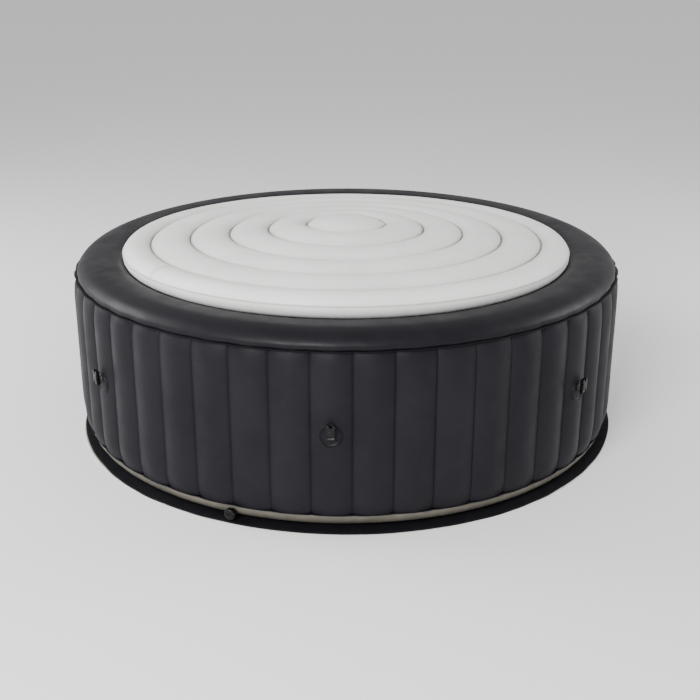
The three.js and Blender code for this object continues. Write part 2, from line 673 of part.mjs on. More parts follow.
function unitHousing() {
  const outside = box(-housingHalf, housingHalf, housingBack, housingFront, housingLow, housingHigh);
  const inside = box(
    -housingHalf + UNIT_SKIN, housingHalf - UNIT_SKIN,
    housingBack + UNIT_SKIN, housingFront + 1,
    housingLow + UNIT_SKIN, housingHigh - UNIT_SKIN,
  );
  return outside.subtract(inside).subtract(neckHoles(GAP, housingBack - 5, housingBack + 10));
}

function unitCover() {
  const plate = box(-housingHalf, housingHalf, coverBack, coverFront, housingLow, housingHigh);
  const slots = union(Array.from({ length: LOUVRE_COUNT }, (_, i) => {
    const z = housingLow + 60 + i * LOUVRE_PITCH;
    return box(-LOUVRE_HALF, LOUVRE_HALF, coverBack - 1, coverFront + 1, z, z + LOUVRE_HEIGHT);
  }));
  const panelHole = box(
    -panelHalf - GAP, panelHalf + GAP, coverBack - 1, coverFront + 1, panelLow - GAP, panelHigh + GAP,
  );
  const glandHole = bar('y', coverBack - 1, coverFront + 1, glandRadius + GAP, glandAt);
  return plate.subtract(slots).subtract(panelHole).subtract(glandHole);
}

function controlPanel() {
  const plate = box(-panelHalf, panelHalf, coverBack, coverFront + 3, panelLow, panelHigh);
  const seatHalf = lensHalf + GAP;
  const lensSeat = box(-seatHalf, seatHalf, coverFront + 1, coverFront + 4, lensLow - GAP, lensHigh + GAP);
  const hole = (x) => bar('y', coverBack - 1, coverFront + 4, buttonRadius + GAP, [x, buttonZ]);
  const holes = union(buttonXs.map(hole));
  return plate.subtract(lensSeat).subtract(holes);
}

const displayLens = () => box(-lensHalf, lensHalf, coverFront + 1 + GAP, coverFront + 3, lensLow, lensHigh);

const button = (x) => bar('y', coverBack + buttonTravel + 1, coverFront + 5, buttonRadius, [x, buttonZ]);

// The gland's nose ends as far from the axis as the front buckle, which keeps the footprint centred.
function powerGland() {
  const tip = -buckleFront;
  return bar('y', coverBack - 12, tip - 6, glandRadius, glandAt)
    .add(bar('y', coverFront + GAP, coverFront + 6, 15, glandAt, 6))
    .add(bar('y', tip - 16, tip, 8, glandAt))
    .subtract(bar('y', coverBack - 13, tip + 1, 5, glandAt));
}

const chamberLow = PUMP_X - 22;
const chamberHigh = PUMP_X + 6;

function pumpCasing() {
  const volute = bar('x', chamberLow - 5, chamberHigh + 5, 52, [unitMid, PUMP_Z]);
  const motor = bar('x', chamberHigh + 4, chamberHigh + 92, 38, [unitMid, PUMP_Z]);
  const discharge = bar('z', PUMP_Z + 40, PUMP_Z + 72, 17, [PUMP_X, unitMid]);
  const suction = bar('y', unitMid - 66, unitMid - 40, 20, [PUMP_X, PUMP_Z]);
  const chamber = bar('x', chamberLow, chamberHigh, 46, [unitMid, PUMP_Z]);
  const bores = bar('y', unitMid - 70, unitMid - 30, 13, [PUMP_X, PUMP_Z])
    .add(bar('z', PUMP_Z + 30, PUMP_Z + 80, 12, [PUMP_X, unitMid]));
  const shaft = bar('x', chamberHigh - 1, chamberHigh + 40, 4.5, [unitMid, PUMP_Z]);
  return volute.add(motor).add(discharge).add(suction).subtract(chamber).subtract(bores).subtract(shaft);
}

function pumpImpeller() {
  const plate = bar('x', chamberHigh - 7, chamberHigh - 3, 40, [unitMid, PUMP_Z]);
  const shaft = bar('x', chamberHigh - 8, chamberHigh + 36, 4.4, [unitMid, PUMP_Z]);
  const vane = box(chamberLow + 4, chamberHigh - 6, unitMid - 2, unitMid + 2, PUMP_Z + 8, PUMP_Z + 38);
  const turnAbout = (solid, turn) => solid
    .translate([0, -unitMid, -PUMP_Z]).rotate([turn, 0, 0]).translate([0, unitMid, PUMP_Z]);
  return plate.add(shaft).add(union([0, 72, 144, 216, 288].map((turn) => turnAbout(vane, turn))));
}

function heaterTube() {
  const low = PUMP_Z + 72 + GAP;
  const body = bar('z', low, RETURN_Z + 34, 24, [PUMP_X, unitMid]);
  const port = bar('y', unitMid - 44, unitMid - 10, 18, [PUMP_X, RETURN_Z]);
  const bore = bar('z', low - 1, RETURN_Z + 30, 20, [PUMP_X, unitMid]);
  const portBore = bar('y', unitMid - 45, unitMid, 12, [PUMP_X, RETURN_Z]);
  return body.add(port).subtract(bore).subtract(portBore);
}

function blowerHousing() {
  const body = bar('y', unitMid - 45, unitMid + 45, 62, [BLOWER_X, BLOWER_Z]);
  const chamber = bar('y', unitMid - 40, unitMid + 40, 57, [BLOWER_X, BLOWER_Z]);
  const inlet = bar('y', unitMid + 30, unitMid + 50, 28, [BLOWER_X, BLOWER_Z]);
  const neck = bar('y', innerWallOutside - 40, unitMid - 44, airNeck, [BLOWER_X, airNeckZ])
    .intersect(bar('y', unitMid - 125, unitMid, 30, [BLOWER_X, airNeckZ]));
  const neckBore = bar('y', WELL_RADIUS - 100, unitMid - 30, airNeck - 3, [BLOWER_X, airNeckZ]);
  const axle = bar('y', unitMid - 41, unitMid - 20, 6, [BLOWER_X, BLOWER_Z]);
  const axleBore = bar('y', unitMid - 41, unitMid - 19, 3.5, [BLOWER_X, BLOWER_Z]);
  return body.add(neck).subtract(chamber).add(axle).subtract(inlet).subtract(neckBore).subtract(axleBore);
}

function blowerFan() {
  const plate = bar('y', unitMid - 18, unitMid - 15, 50, [BLOWER_X, BLOWER_Z]);
  const shaft = bar('y', unitMid - 38, unitMid - 15, 3.4, [BLOWER_X, BLOWER_Z]);
  const blade = box(-1.5, 1.5, unitMid - 16, unitMid + 25, 32, 49);
  const blades = union(Array.from({ length: 10 }, (_, i) => blade.rotate([0, i * 36, 0])));
  return plate.add(shaft).add(blades.translate([BLOWER_X, 0, BLOWER_Z]));
}

function circuitBoard() {
  const y = unitMid + 10;
  const plate = box(20, 165, y, y + 2, 330, 430);
  const relay = box(35, 65, y + 1, y + 18, 345, 375);
  const chip = box(90, 120, y + 1, y + 5, 360, 390);
  const posts = union([[28, 338], [157, 338], [28, 422], [157, 422]]
    .map(([x, z]) => bar('y', housingBack + UNIT_SKIN + GAP, y + 1, 4, [x, z], 8)));
  return plate.add(relay).add(chip).add(posts);
}

// ---- fittings inside the well ----------------------------------------------------------------------------
const filterY = WELL_RADIUS - FILTER_CLEARANCE - FILTER_RADIUS;
const filterLow = PUMP_Z - 60;
const filterHigh = PUMP_Z + 90;

function filterHousing() {
  const cup = bar('z', filterLow, filterHigh, FILTER_RADIUS, [PUMP_X, filterY]);
  const neck = bar('y', filterY + 30, unitMid - 66 - GAP, suctionNeck, [PUMP_X, PUMP_Z]);
  const hollow = bar('z', filterLow + 4, filterHigh + 1, FILTER_RADIUS - 4, [PUMP_X, filterY]);
  const bore = bar('y', filterY, unitMid, suctionNeck - 4, [PUMP_X, PUMP_Z]);
  return cup.add(neck).subtract(hollow).subtract(bore);
}

function filterCartridge() {
  const low = filterLow + 4 + GAP;
  const high = filterHigh + GAP;
  const core = bar('z', low, high, 40, [PUMP_X, filterY]);
  const cap = bar('z', high, high + 8, FILTER_RADIUS, [PUMP_X, filterY]);
  const grip = box(PUMP_X - 20, PUMP_X + 20, filterY - 4, filterY + 4, high + 7, high + 22);
  const pleats = union(Array.from({ length: 12 }, (_, i) => box(38, 50, -2, 2, low + 6, high - 6)
    .rotate([0, 0, i * 30]))).translate([PUMP_X, filterY, 0]);
  const bore = bar('z', low - 1, high - 10, 18, [PUMP_X, filterY]);
  return core.add(pleats).add(cap).add(grip).subtract(bore);
}

function returnNozzle() {
  const back = wellWallAt(Math.abs(PUMP_X) + NOZZLE_RADIUS) - NOZZLE_CLEARANCE;
  const front = back - NOZZLE_DEPTH;
  const flange = bar('y', front, back, NOZZLE_RADIUS, [PUMP_X, RETURN_Z]);
  const neck = bar('y', back - 8, unitMid - 44 - GAP, returnNeck, [PUMP_X, RETURN_Z]);
  const bore = bar('y', front - 2, unitMid, returnNeck - 4, [PUMP_X, RETURN_Z]);
  return flange.add(neck).subtract(bore);
}

// Flat duct that brings air from the blower down the inner wall to the bubble channel.
function airDuct() {
  const low = floorTop + GAP + CHANNEL_HEIGHT + GAP;
  const high = airNeckZ + 20;
  const back = wellWallAt(BLOWER_X + 20) - 3;
  const outside = box(BLOWER_X - 20, BLOWER_X + 20, back - 14, back, low, high);
  const inside = box(BLOWER_X - 16, BLOWER_X + 16, back - 10, back - 4, low - 1, high - 4);
  const port = bar('y', back - 8, back + 1, airNeck - 3, [BLOWER_X, airNeckZ]);
  return outside.subtract(inside).subtract(port);
}

// ---- assembly --------------------------------------------------------------------------------------------
add('mat_foil', 'mat_foil', disc(matRadius - 2, 0, foilTop));
add('ground_mat', 'mat_foam', disc(matRadius, matBottom, matTop));
add('bottom_sheet', 'base_vinyl', disc(footRadius - 1.5, bottomZ, bottomTop));
add('base_ring', 'base_vinyl', baseRing());
add('base_weld', 'weld_tape', weldRing(seamRadius - 2 + BASE_WELD_WIDTH, baseWeldZ));
add('outer_wall', 'wall_vinyl', outerWall());
add('top_weld', 'weld_tape', weldRing(TUB_RADIUS, topWeldZ));
add('top_ring', 'rim_vinyl', topRing());
add('inner_wall', 'liner_vinyl', innerWall());
add('brace_webs', 'liner_vinyl', braceWebs());
add('floor_pad', 'liner_vinyl', floorPad());
add('bubble_channel', 'liner_vinyl', bubbleChannel());
add('lid', 'lid_vinyl', lid());
add('lid_valve_body', 'lid_vinyl', lidValveBody());
add('lid_valve_cap', 'lid_vinyl', lidValveCap());
for (let i = 0; i < BUCKLE_COUNT; i++) {
  const turn = (i - (BUCKLE_COUNT - 1) / 2) * RIBS_PER_BUCKLE * 360 / RIB_COUNT;
  add(`buckle_patch_${i + 1}`, 'rim_vinyl', buckleBase().rotate([0, 0, turn]));
  add(`buckle_strap_${i + 1}`, 'black_plastic', buckleStrap().rotate([0, 0, turn]));
  add(`buckle_${i + 1}`, 'black_plastic', buckle().rotate([0, 0, turn]));
}
add('drain_socket', 'black_plastic', drainSocket());
add('drain_cap', 'black_plastic', drainCap());
add('drain_plug', 'black_plastic', drainPlug());
add('air_valve_body', 'black_plastic', airValveBody());
add('air_valve_cap', 'black_plastic', airValveCap());
add('unit_pocket', 'wall_vinyl', unitPocket());
add('unit_housing', 'unit_plastic', unitHousing());
add('unit_cover', 'unit_plastic', unitCover());
add('control_panel', 'panel_plastic', controlPanel());
add('display_lens', 'panel_plastic', displayLens());
buttonXs.forEach((x, i) => add(`panel_button_${i + 1}`, 'button_rubber', button(x)));
add('power_gland', 'black_plastic', powerGland());
add('pump_casing', 'unit_plastic', pumpCasing());
add('pump_impeller', 'black_plastic', pumpImpeller());
add('heater_tube', 'metal_tube', heaterTube());
add('blower_housing', 'unit_plastic', blowerHousing());
add('blower_fan', 'black_plastic', blowerFan());
add('circuit_board', 'board', circuitBoard());
add('filter_housing', 'unit_plastic', filterHousing());
add('filter_cartridge', 'filter_paper', filterCartridge());
add('return_nozzle', 'unit_plastic', returnNozzle());
add('air_duct', 'liner_vinyl', airDuct());

export default tub;
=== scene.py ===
"""Round inflatable hot tub with its ringed lid, ground mat, strap buckles and rear control unit."""
import logging
import math
from collections.abc import Iterable, Sequence
from dataclasses import dataclass, field
from enum import Enum

import bpy
import numpy as np
from mathutils import Matrix, Vector


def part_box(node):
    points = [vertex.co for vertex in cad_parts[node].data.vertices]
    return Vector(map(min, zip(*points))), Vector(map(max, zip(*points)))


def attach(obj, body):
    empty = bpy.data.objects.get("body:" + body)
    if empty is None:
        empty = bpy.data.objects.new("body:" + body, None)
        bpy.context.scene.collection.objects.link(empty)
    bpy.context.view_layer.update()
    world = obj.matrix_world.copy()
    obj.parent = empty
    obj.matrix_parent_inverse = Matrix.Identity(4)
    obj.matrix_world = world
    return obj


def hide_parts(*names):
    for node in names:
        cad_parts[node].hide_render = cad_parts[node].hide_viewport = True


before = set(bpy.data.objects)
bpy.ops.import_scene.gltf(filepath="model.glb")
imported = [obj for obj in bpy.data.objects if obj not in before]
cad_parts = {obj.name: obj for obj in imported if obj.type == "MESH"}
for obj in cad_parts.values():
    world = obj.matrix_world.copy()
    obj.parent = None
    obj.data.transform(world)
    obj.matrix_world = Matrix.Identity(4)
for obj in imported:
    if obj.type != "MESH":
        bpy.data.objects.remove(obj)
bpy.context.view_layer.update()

log = logging.getLogger("hot_tub")
MM = 0.001
RIBS = 48
BUCKLES = 7
BUCKLE_STEP_DEG = 52.5
DRAIN_DEG = -19.0
AIR_VALVE_DEG = 135.0
SKIN = 3 * MM
VIEW_SIDE_DEG = 2.6
EYE_DISTANCE = 4.125
EYE_HEIGHT = 1.815
EYE_PITCH = 0.366
LENS_MM = 57.69
LENS_SHIFT = 0.0054


class Slot(Enum):
    """Material slots of the record that the pieces take their finish from."""

    WALL = "wall_vinyl"
    RIM = "rim_vinyl"
    BASE = "base_vinyl"
    LINER = "liner_vinyl"
    LID = "lid_vinyl"
    FOAM = "mat_foam"
    FOIL = "mat_foil"
    WELD = "weld_tape"
    WEBBING = "webbing"
    ACETAL = "black_plastic"
    UNIT = "unit_plastic"
    PANEL = "panel_plastic"
    BUTTON = "button_rubber"
    TUBE = "metal_tube"
    PAPER = "filter_paper"
    BOARD = "board"


def linear(code: str) -> tuple[float, float, float, float]:
    """Turn an sRGB hex colour into linear RGBA.

    Args:
        code: Colour as "#rrggbb".

    Returns:
        Linear red, green, blue and an alpha of one.
    """
    parts = [int(code[i : i + 2], 16) / 255 for i in (1, 3, 5)]
    turned = [p / 12.92 if p <= 0.04045 else ((p + 0.055) / 1.055) ** 2.4 for p in parts]
    return (turned[0], turned[1], turned[2], 1.0)


def put(tree: bpy.types.NodeTree, kind: str, inputs: dict | None = None, **settings: object) -> bpy.types.Node:
    """Add one node with its settings, input values and links.

    Args:
        tree: Node tree that gets the node.
        kind: Node type name.
        inputs: Values or output sockets by input name or index.
        **settings: Attributes of the node itself.

    Returns:
        The new node.
    """
    node = tree.nodes.new(kind)
    for name, value in settings.items():
        setattr(node, name, value)
    for key, value in (inputs or {}).items():
        if isinstance(value, bpy.types.NodeSocket):
            tree.links.new(value, node.inputs[key])
        else:
            node.inputs[key].default_value = value
    return node


# ---- finishes ---------------------------------------------------------------------------------


class Shader:
    """A material being written: one Principled shader and the patterns that feed it."""

    def __init__(self, name: str) -> None:
        self.material = bpy.data.materials.new(name)
        self.material.use_nodes = True
        self.tree = self.material.node_tree
        self.tree.nodes.clear()
        self.bsdf = put(self.tree, "ShaderNodeBsdfPrincipled")
        put(self.tree, "ShaderNodeOutputMaterial", {"Surface": self.bsdf.outputs[0]})
        self.place = put(self.tree, "ShaderNodeTexCoord").outputs["Object"]
        self.relief: bpy.types.NodeSocket | None = None

    def math(self, operation: str, *values: object) -> bpy.types.NodeSocket:
        """One math step on sockets or numbers."""
        inputs = dict(enumerate(values))
        return put(self.tree, "ShaderNodeMath", inputs, operation=operation).outputs[0]

    def wrapped(self) -> bpy.types.NodeSocket:
        """Metres round the tub, up it and out from its axis, so that a weave runs true on a round wall."""
        parts = put(self.tree, "ShaderNodeSeparateXYZ", {0: self.place}).outputs
        turn = self.math("ARCTAN2", parts[0], self.math("MULTIPLY", parts[1], -1.0))
        out = self.math("SQRT", self.math("ADD", self.math("POWER", parts[0], 2.0), self.math("POWER", parts[1], 2.0)))
        joined = put(self.tree, "ShaderNodeCombineXYZ", {0: turn, 1: parts[2], 2: out})
        return joined.outputs[0]

    def noise(self, pitch: float, detail: float = 2.0, stretch: Sequence[float] = (1, 1, 1)) -> bpy.types.NodeSocket:
        """Fractal noise whose blobs are about pitch metres wide."""
        spread = put(self.tree, "ShaderNodeMapping", {"Vector": self.place, "Scale": tuple(stretch)})
        inputs = {"Vector": spread.outputs[0], "Scale": 1 / pitch, "Detail": detail, "Roughness": 0.55}
        return put(self.tree, "ShaderNodeTexNoise", inputs).outputs["Fac"]

    def cells(self, pitch: float) -> bpy.types.NodeSocket:
        """Rounded cells about pitch metres wide, dark in the middle."""
        inputs = {"Vector": self.place, "Scale": 1 / pitch}
        return put(self.tree, "ShaderNodeTexVoronoi", inputs, feature="SMOOTH_F1").outputs["Distance"]

    def spread(
        self, source: bpy.types.NodeSocket, low: float, high: float, start: float = 0.3, end: float = 0.7
    ) -> bpy.types.NodeSocket:
        """Map the useful middle of a pattern onto a range."""
        inputs = {"Value": source, "From Min": start, "From Max": end, "To Min": low, "To Max": high}
        return put(self.tree, "ShaderNodeMapRange", inputs).outputs[0]

    def tint(self, factor: bpy.types.NodeSocket, first: str, second: str) -> bpy.types.NodeSocket:
        """Blend two colours by a pattern."""
        inputs = {0: factor, 6: linear(first), 7: linear(second)}
        return put(self.tree, "ShaderNodeMix", inputs, data_type="RGBA").outputs[2]

    def over(self, base: bpy.types.NodeSocket, share: bpy.types.NodeSocket, colour: str) -> bpy.types.NodeSocket:
        """Lay a colour over what is there.

        Args:
            base: Colour underneath.
            share: How much of the new colour shows, from 0 to 1.
            colour: The new colour, as a hex string.

        Returns:
            The mixed colour.
        """
        inputs = {0: share, 6: base, 7: linear(colour)}
        return put(self.tree, "ShaderNodeMix", inputs, data_type="RGBA").outputs[2]

    def bump(self, height: bpy.types.NodeSocket, depth: float) -> None:
        """Stack one more relief, depth metres deep, on what is there."""
        inputs = {"Height": height, "Distance": depth, "Strength": 1.0}
        if self.relief is not None:
            inputs["Normal"] = self.relief
        self.relief = put(self.tree, "ShaderNodeBump", inputs).outputs[0]

    def feed(self, **values: object) -> None:
        """Set or link shader inputs by name, with underscores for spaces."""
        for name, value in values.items():
            socket = self.bsdf.inputs[name.replace("_", " ")]
            if isinstance(value, bpy.types.NodeSocket):
                self.tree.links.new(value, socket)
            else:
                socket.default_value = value

    def done(self) -> bpy.types.Material:
        """Link the stacked relief and hand the material over."""
        if self.relief is not None:
            self.feed(Normal=self.relief)
        return self.material


@dataclass(frozen=True)
class Vinyl:
    """Calendered PVC sheet laminated over a polyester scrim.

    The calender roll leaves a fine leather-like emboss that breaks highlights into a satin glow, and the scrim
    grid shows through as a faint woven relief under raking light.
    """

    slot: Slot
    colour: str
    shade: str
    roughness: float
    emboss: float = 1.1 * MM
    emboss_depth: float = 0.05 * MM
    scrim: float = 2.6 * MM
    scrim_depth: float = 0.02 * MM
    wrap_radius: float = 1.0
    dust: str = "#6d6a66"
    dust_share: float = 0.05
    gloss: float = 0.3
    # Colour laid where the crease weight is high: painted shade round the lid grooves, plus darker weld lines.
    groove_shade_and_weld_lines: str = "#56524c"
    groove_shade_and_weld_lines_share: float = 0.0

    def build(self) -> bpy.types.Material:
        """Write the material."""
        s = Shader(self.slot.value)
        cloud = s.spread(s.noise(240 * MM, 3), 0, 1, 0.35, 0.65)
        base = s.tint(cloud, self.colour, self.shade)
        film = s.math("MULTIPLY", s.spread(s.noise(34 * MM, 4), 0, 1, 0.48, 0.8), self.dust_share)
        overlaid_colour = s.over(base, film, self.dust)
        rubbed = s.spread(s.noise(90 * MM, 4), self.roughness - 0.05, self.roughness + 0.07)
        s.bump(s.cells(self.emboss), self.emboss_depth)
        s.bump(self.weave(s), self.scrim_depth)
        s.bump(s.noise(16 * MM, 2), 0.06 * MM)
        # Painted shade: the crease weight darkens the colour round the lid grooves, and along the edge weld and the
        # join as darker weld lines.
        if self.groove_shade_and_weld_lines_share:
            crease = put(s.tree, "ShaderNodeAttribute", attribute_name="crease").outputs["Fac"]
            patchy = s.math("MULTIPLY", s.spread(s.noise(50 * MM, 3), 0.7, 1), self.groove_shade_and_weld_lines_share)
            overlaid_colour = s.over(overlaid_colour, s.math("MULTIPLY", crease, patchy), self.groove_shade_and_weld_lines)
        s.feed(Base_Color=overlaid_colour, Roughness=rubbed, Specular_IOR_Level=self.gloss)
        return s.done()

    def weave(self, s: Shader) -> bpy.types.NodeSocket:
        """Crossed threads that run round and up the tub."""
        parts = put(s.tree, "ShaderNodeSeparateXYZ", {0: s.wrapped()}).outputs
        around = s.math("SINE", s.math("MULTIPLY", parts[0], 2 * math.pi * self.wrap_radius / self.scrim))
        along = s.math("ADD", parts[1], parts[2])
        upward = s.math("SINE", s.math("MULTIPLY", along, 2 * math.pi / self.scrim))
        return s.math("MULTIPLY", around, upward)


@dataclass(frozen=True)
class Moulded:
    """Injection-moulded plastic from a spark-eroded mould, which gives an even fine matt grain."""

    slot: Slot
    colour: str
    shade: str
    roughness: float
    grain: float = 0.5 * MM
    grain_depth: float = 0.02 * MM
    gloss: float = 0.4

    def build(self) -> bpy.types.Material:
        """Write the material."""
        s = Shader(self.slot.value)
        base = s.tint(s.spread(s.noise(30 * MM, 3), 0, 1), self.colour, self.shade)
        handled = s.spread(s.noise(12 * MM, 4), self.roughness - 0.05, self.roughness + 0.08)
        s.bump(s.noise(self.grain, 2), self.grain_depth)
        s.bump(s.noise(25 * MM, 1), 0.04 * MM)
        s.feed(Base_Color=base, Roughness=handled, Specular_IOR_Level=self.gloss)
        return s.done()


@dataclass(frozen=True)
class Foam:
    """Closed-cell polyethylene foam sheet: tiny skinned-over cells, dull and soft, with pale dust caught in it."""

    slot: Slot
    colour: str = "#0c0c10"
    shade: str = "#121217"
    dust: str = "#77736b"
    cell: float = 1.8 * MM

    def build(self) -> bpy.types.Material:
        """Write the material."""
        s = Shader(self.slot.value)
        base = s.tint(s.spread(s.noise(60 * MM, 4), 0, 1), self.colour, self.shade)
        specks = s.math("MULTIPLY", s.spread(s.noise(3 * MM, 2), 0, 1, 0.66, 0.8), 0.25)
        overlaid_colour = s.over(base, specks, self.dust)
        s.bump(s.cells(self.cell), 0.12 * MM)
        s.bump(s.noise(22 * MM, 2), 0.5 * MM)
        s.feed(Base_Color=overlaid_colour, Roughness=s.spread(s.noise(40 * MM, 3), 0.62, 0.8), Specular_IOR_Level=0.12)
        return s.done()


@dataclass(frozen=True)
class Foil:
    """Aluminised polyester film laminated to the foam: metallic, soft-bright and finely crinkled."""

    slot: Slot
    colour: str = "#cfccc2"

    def build(self) -> bpy.types.Material:
        """Write the material."""
        s = Shader(self.slot.value)
        base = s.tint(s.spread(s.noise(50 * MM, 3), 0, 1), self.colour, "#b3afa3")
        s.bump(s.cells(9 * MM), 0.35 * MM)
        s.bump(s.noise(3 * MM, 3), 0.12 * MM)
        s.feed(Base_Color=base, Metallic=0.75, Roughness=s.spread(s.noise(15 * MM, 3), 0.34, 0.5))
        return s.done()


@dataclass(frozen=True)
class Webbing:
    """Polypropylene webbing in a flat herringbone weave, with the slight gloss of the melt-spun yarn."""

    slot: Slot
    colour: str = "#141416"
    shade: str = "#232326"
    pick: float = 1.5 * MM

    def build(self) -> bpy.types.Material:
        """Write the material."""
        s = Shader(self.slot.value)
        parts = put(s.tree, "ShaderNodeSeparateXYZ", {0: s.wrapped()}).outputs
        turn = 2 * math.pi / self.pick
        slants = [s.math(way, parts[0], parts[1]) for way in ("ADD", "SUBTRACT")]
        yarn = s.math("MAXIMUM", *(s.math("SINE", s.math("MULTIPLY", slant, turn)) for slant in slants))
        s.bump(yarn, 0.18 * MM)
        base = s.tint(s.spread(yarn, 0, 1, -0.4, 1.0), self.colour, self.shade)
        s.feed(Base_Color=base, Roughness=0.62, Sheen_Weight=0.25)
        return s.done()


@dataclass(frozen=True)
class Brushed:
    """Drawn and brushed stainless tube: grain along its length that stretches the highlight across it."""

    slot: Slot
    colour: str = "#b9bcc0"

    def build(self) -> bpy.types.Material:
        """Write the material."""
        s = Shader(self.slot.value)
        lines = s.noise(0.6 * MM, 3, (1, 1, 0.02))
        s.bump(lines, 0.01 * MM)
        tint = s.tint(s.spread(s.noise(25 * MM, 3), 0, 1), self.colour, "#a3a29c")
        s.feed(Base_Color=tint, Metallic=1.0, Roughness=s.spread(lines, 0.22, 0.38), Anisotropic=0.5)
        return s.done()


@dataclass(frozen=True)
class Paper:
    """Spun-bonded polyester filter medium: matt, fibrous, pleated, a little yellowed by use."""

    slot: Slot
    colour: str = "#e6e8ea"

    def build(self) -> bpy.types.Material:
        """Write the material."""
        s = Shader(self.slot.value)
        base = s.tint(s.spread(s.noise(18 * MM, 4), 0, 1), self.colour, "#d3d2c4")
        s.bump(s.noise(0.8 * MM, 5, (1, 1, 0.25)), 0.1 * MM)
        s.feed(Base_Color=base, Roughness=0.9, Sheen_Weight=0.1)
        return s.done()


@dataclass(frozen=True)
class Board:
    """Glass-epoxy circuit board under green solder resist, with the copper tracks just proud beneath it."""

    slot: Slot

    def build(self) -> bpy.types.Material:
        """Write the material."""
        s = Shader(self.slot.value)
        tracks = put(
            s.tree,
            "ShaderNodeTexBrick",
            {"Vector": s.place, "Scale": 60.0, "Mortar Size": 0.04, "Brick Width": 1.3, "Row Height": 0.35},
        ).outputs["Fac"]
        s.bump(tracks, 0.05 * MM)
        s.feed(Base_Color=s.tint(tracks, "#1b5232", "#2f7a4c"), Roughness=0.28, Coat_Weight=0.3)
        return s.done()


FINISHES = (
    Vinyl(Slot.WALL, "#17161b", "#1c1b20", 0.5, dust="#4a4744", dust_share=0.03, gloss=0.12),
    Vinyl(Slot.RIM, "#131217", "#18171c", 0.43, emboss=1.3 * MM, dust="#4a4744", dust_share=0.03, gloss=0.16),
    Vinyl(Slot.BASE, "#625e55", "#504d46", 0.58, dust="#8d897f", dust_share=0.2),
    Vinyl(Slot.LINER, "#74777c", "#6a6d72", 0.45),
    # The lid's crease weight darkens its colour: painted shade round the grooves, darker lines on the edge weld and
    # the join.
    Vinyl(Slot.LID, "#f1f0ee", "#e9e8e6", 0.46, wrap_radius=0.6, dust="#b5b1a8", dust_share=0.1, groove_shade_and_weld_lines_share=0.85),
    Vinyl(Slot.WELD, "#17161c", "#1b1a20", 0.5, scrim_depth=0.05 * MM, dust="#3a3836", gloss=0.12),
    Foam(Slot.FOAM),
    Foil(Slot.FOIL),
    Webbing(Slot.WEBBING),
    Moulded(Slot.ACETAL, "#060608", "#0a0a0c", 0.26, grain_depth=0.008 * MM, gloss=0.22),
    Moulded(Slot.UNIT, "#26272b", "#2c2d32", 0.48),
    Moulded(Slot.PANEL, "#0a0b0d", "#0f1014", 0.14, grain_depth=0.003 * MM),
    Moulded(Slot.BUTTON, "#8d9096", "#84878d", 0.6, grain=0.3 * MM),
    Brushed(Slot.TUBE),
    Paper(Slot.PAPER),
    Board(Slot.BOARD),
)


# ---- mesh making ------------------------------------------------------------------------------


def solid(name: str, points: np.ndarray, faces: Sequence[Sequence[int]], smooth: bool = True) -> bpy.types.Object:
    """Make a mesh object from points and faces, turned to face outwards.

    Args:
        name: Name of the object.
        points: Vertex positions, one row each.
        faces: Vertex numbers of each face.
        smooth: Whether the faces are shaded smooth.

    Returns:
        The new object, linked to the scene.
    """
    mesh = bpy.data.meshes.new(name)
    mesh.from_pydata([tuple(p) for p in points], [], [tuple(int(i) for i in f) for f in faces])
    mesh.validate()
    mesh.polygons.foreach_set("use_smooth", [smooth] * len(mesh.polygons))
    obj = bpy.data.objects.new(name, mesh)
    bpy.context.scene.collection.objects.link(obj)
    face_out(obj)
    return obj


def face_out(obj: bpy.types.Object) -> None:
    """Turn every face round when the closed mesh is inside out."""
    mesh = obj.data
    mesh.calc_loop_triangles()
    corners = np.empty(len(mesh.loop_triangles) * 3, int)
    mesh.loop_triangles.foreach_get("vertices", corners)
    co = np.empty(len(mesh.vertices) * 3)
    mesh.vertices.foreach_get("co", co)
    a, b, c = co.reshape(-1, 3)[corners.reshape(-1, 3)].transpose(1, 0, 2)
    if (a * np.cross(b, c)).sum() < 0:
        mesh.flip_normals()


def revolve(name: str, outline: Sequence[Sequence[float]], sides: int) -> bpy.types.Object:
    """Turn a closed outline of (radius, height) points about the tub axis.

    Args:
        name: Name of the object.
        outline: Points from the axis to the axis, or round a closed loop that stays off it.
        sides: Number of steps round the axis.

    Returns:
        The new closed mesh object.
    """
    r, z = np.array(outline, float).T
    turns = np.arange(sides) * 2 * math.pi / sides
    on_axis = r[0] < 1e-9 and r[-1] < 1e-9
    inner = slice(1, -1) if on_axis else slice(None)
    rr, zz = r[inner], z[inner]
    grid = np.stack(
        [np.outer(rr, np.sin(turns)), -np.outer(rr, np.cos(turns)), np.repeat(zz[:, None], sides, 1)], -1
    ).reshape(-1, 3)
    rows = len(rr)
    last = rows - 1 if on_axis else rows
    faces: list[Sequence[int]] = []
    for i in range(last):
        j = (i + 1) % rows
        for k in range(sides):
            m = (k + 1) % sides
            faces.append((i * sides + k, j * sides + k, j * sides + m, i * sides + m))
    if on_axis:
        top, bottom = len(grid), len(grid) + 1
        grid = np.vstack([grid, [[0, 0, z[0]], [0, 0, z[-1]]]])
        for k in range(sides):
            m = (k + 1) % sides
            faces.append((top, k, m))
            faces.append((bottom, (rows - 1) * sides + m, (rows - 1) * sides + k))
    return solid(name, grid, faces)


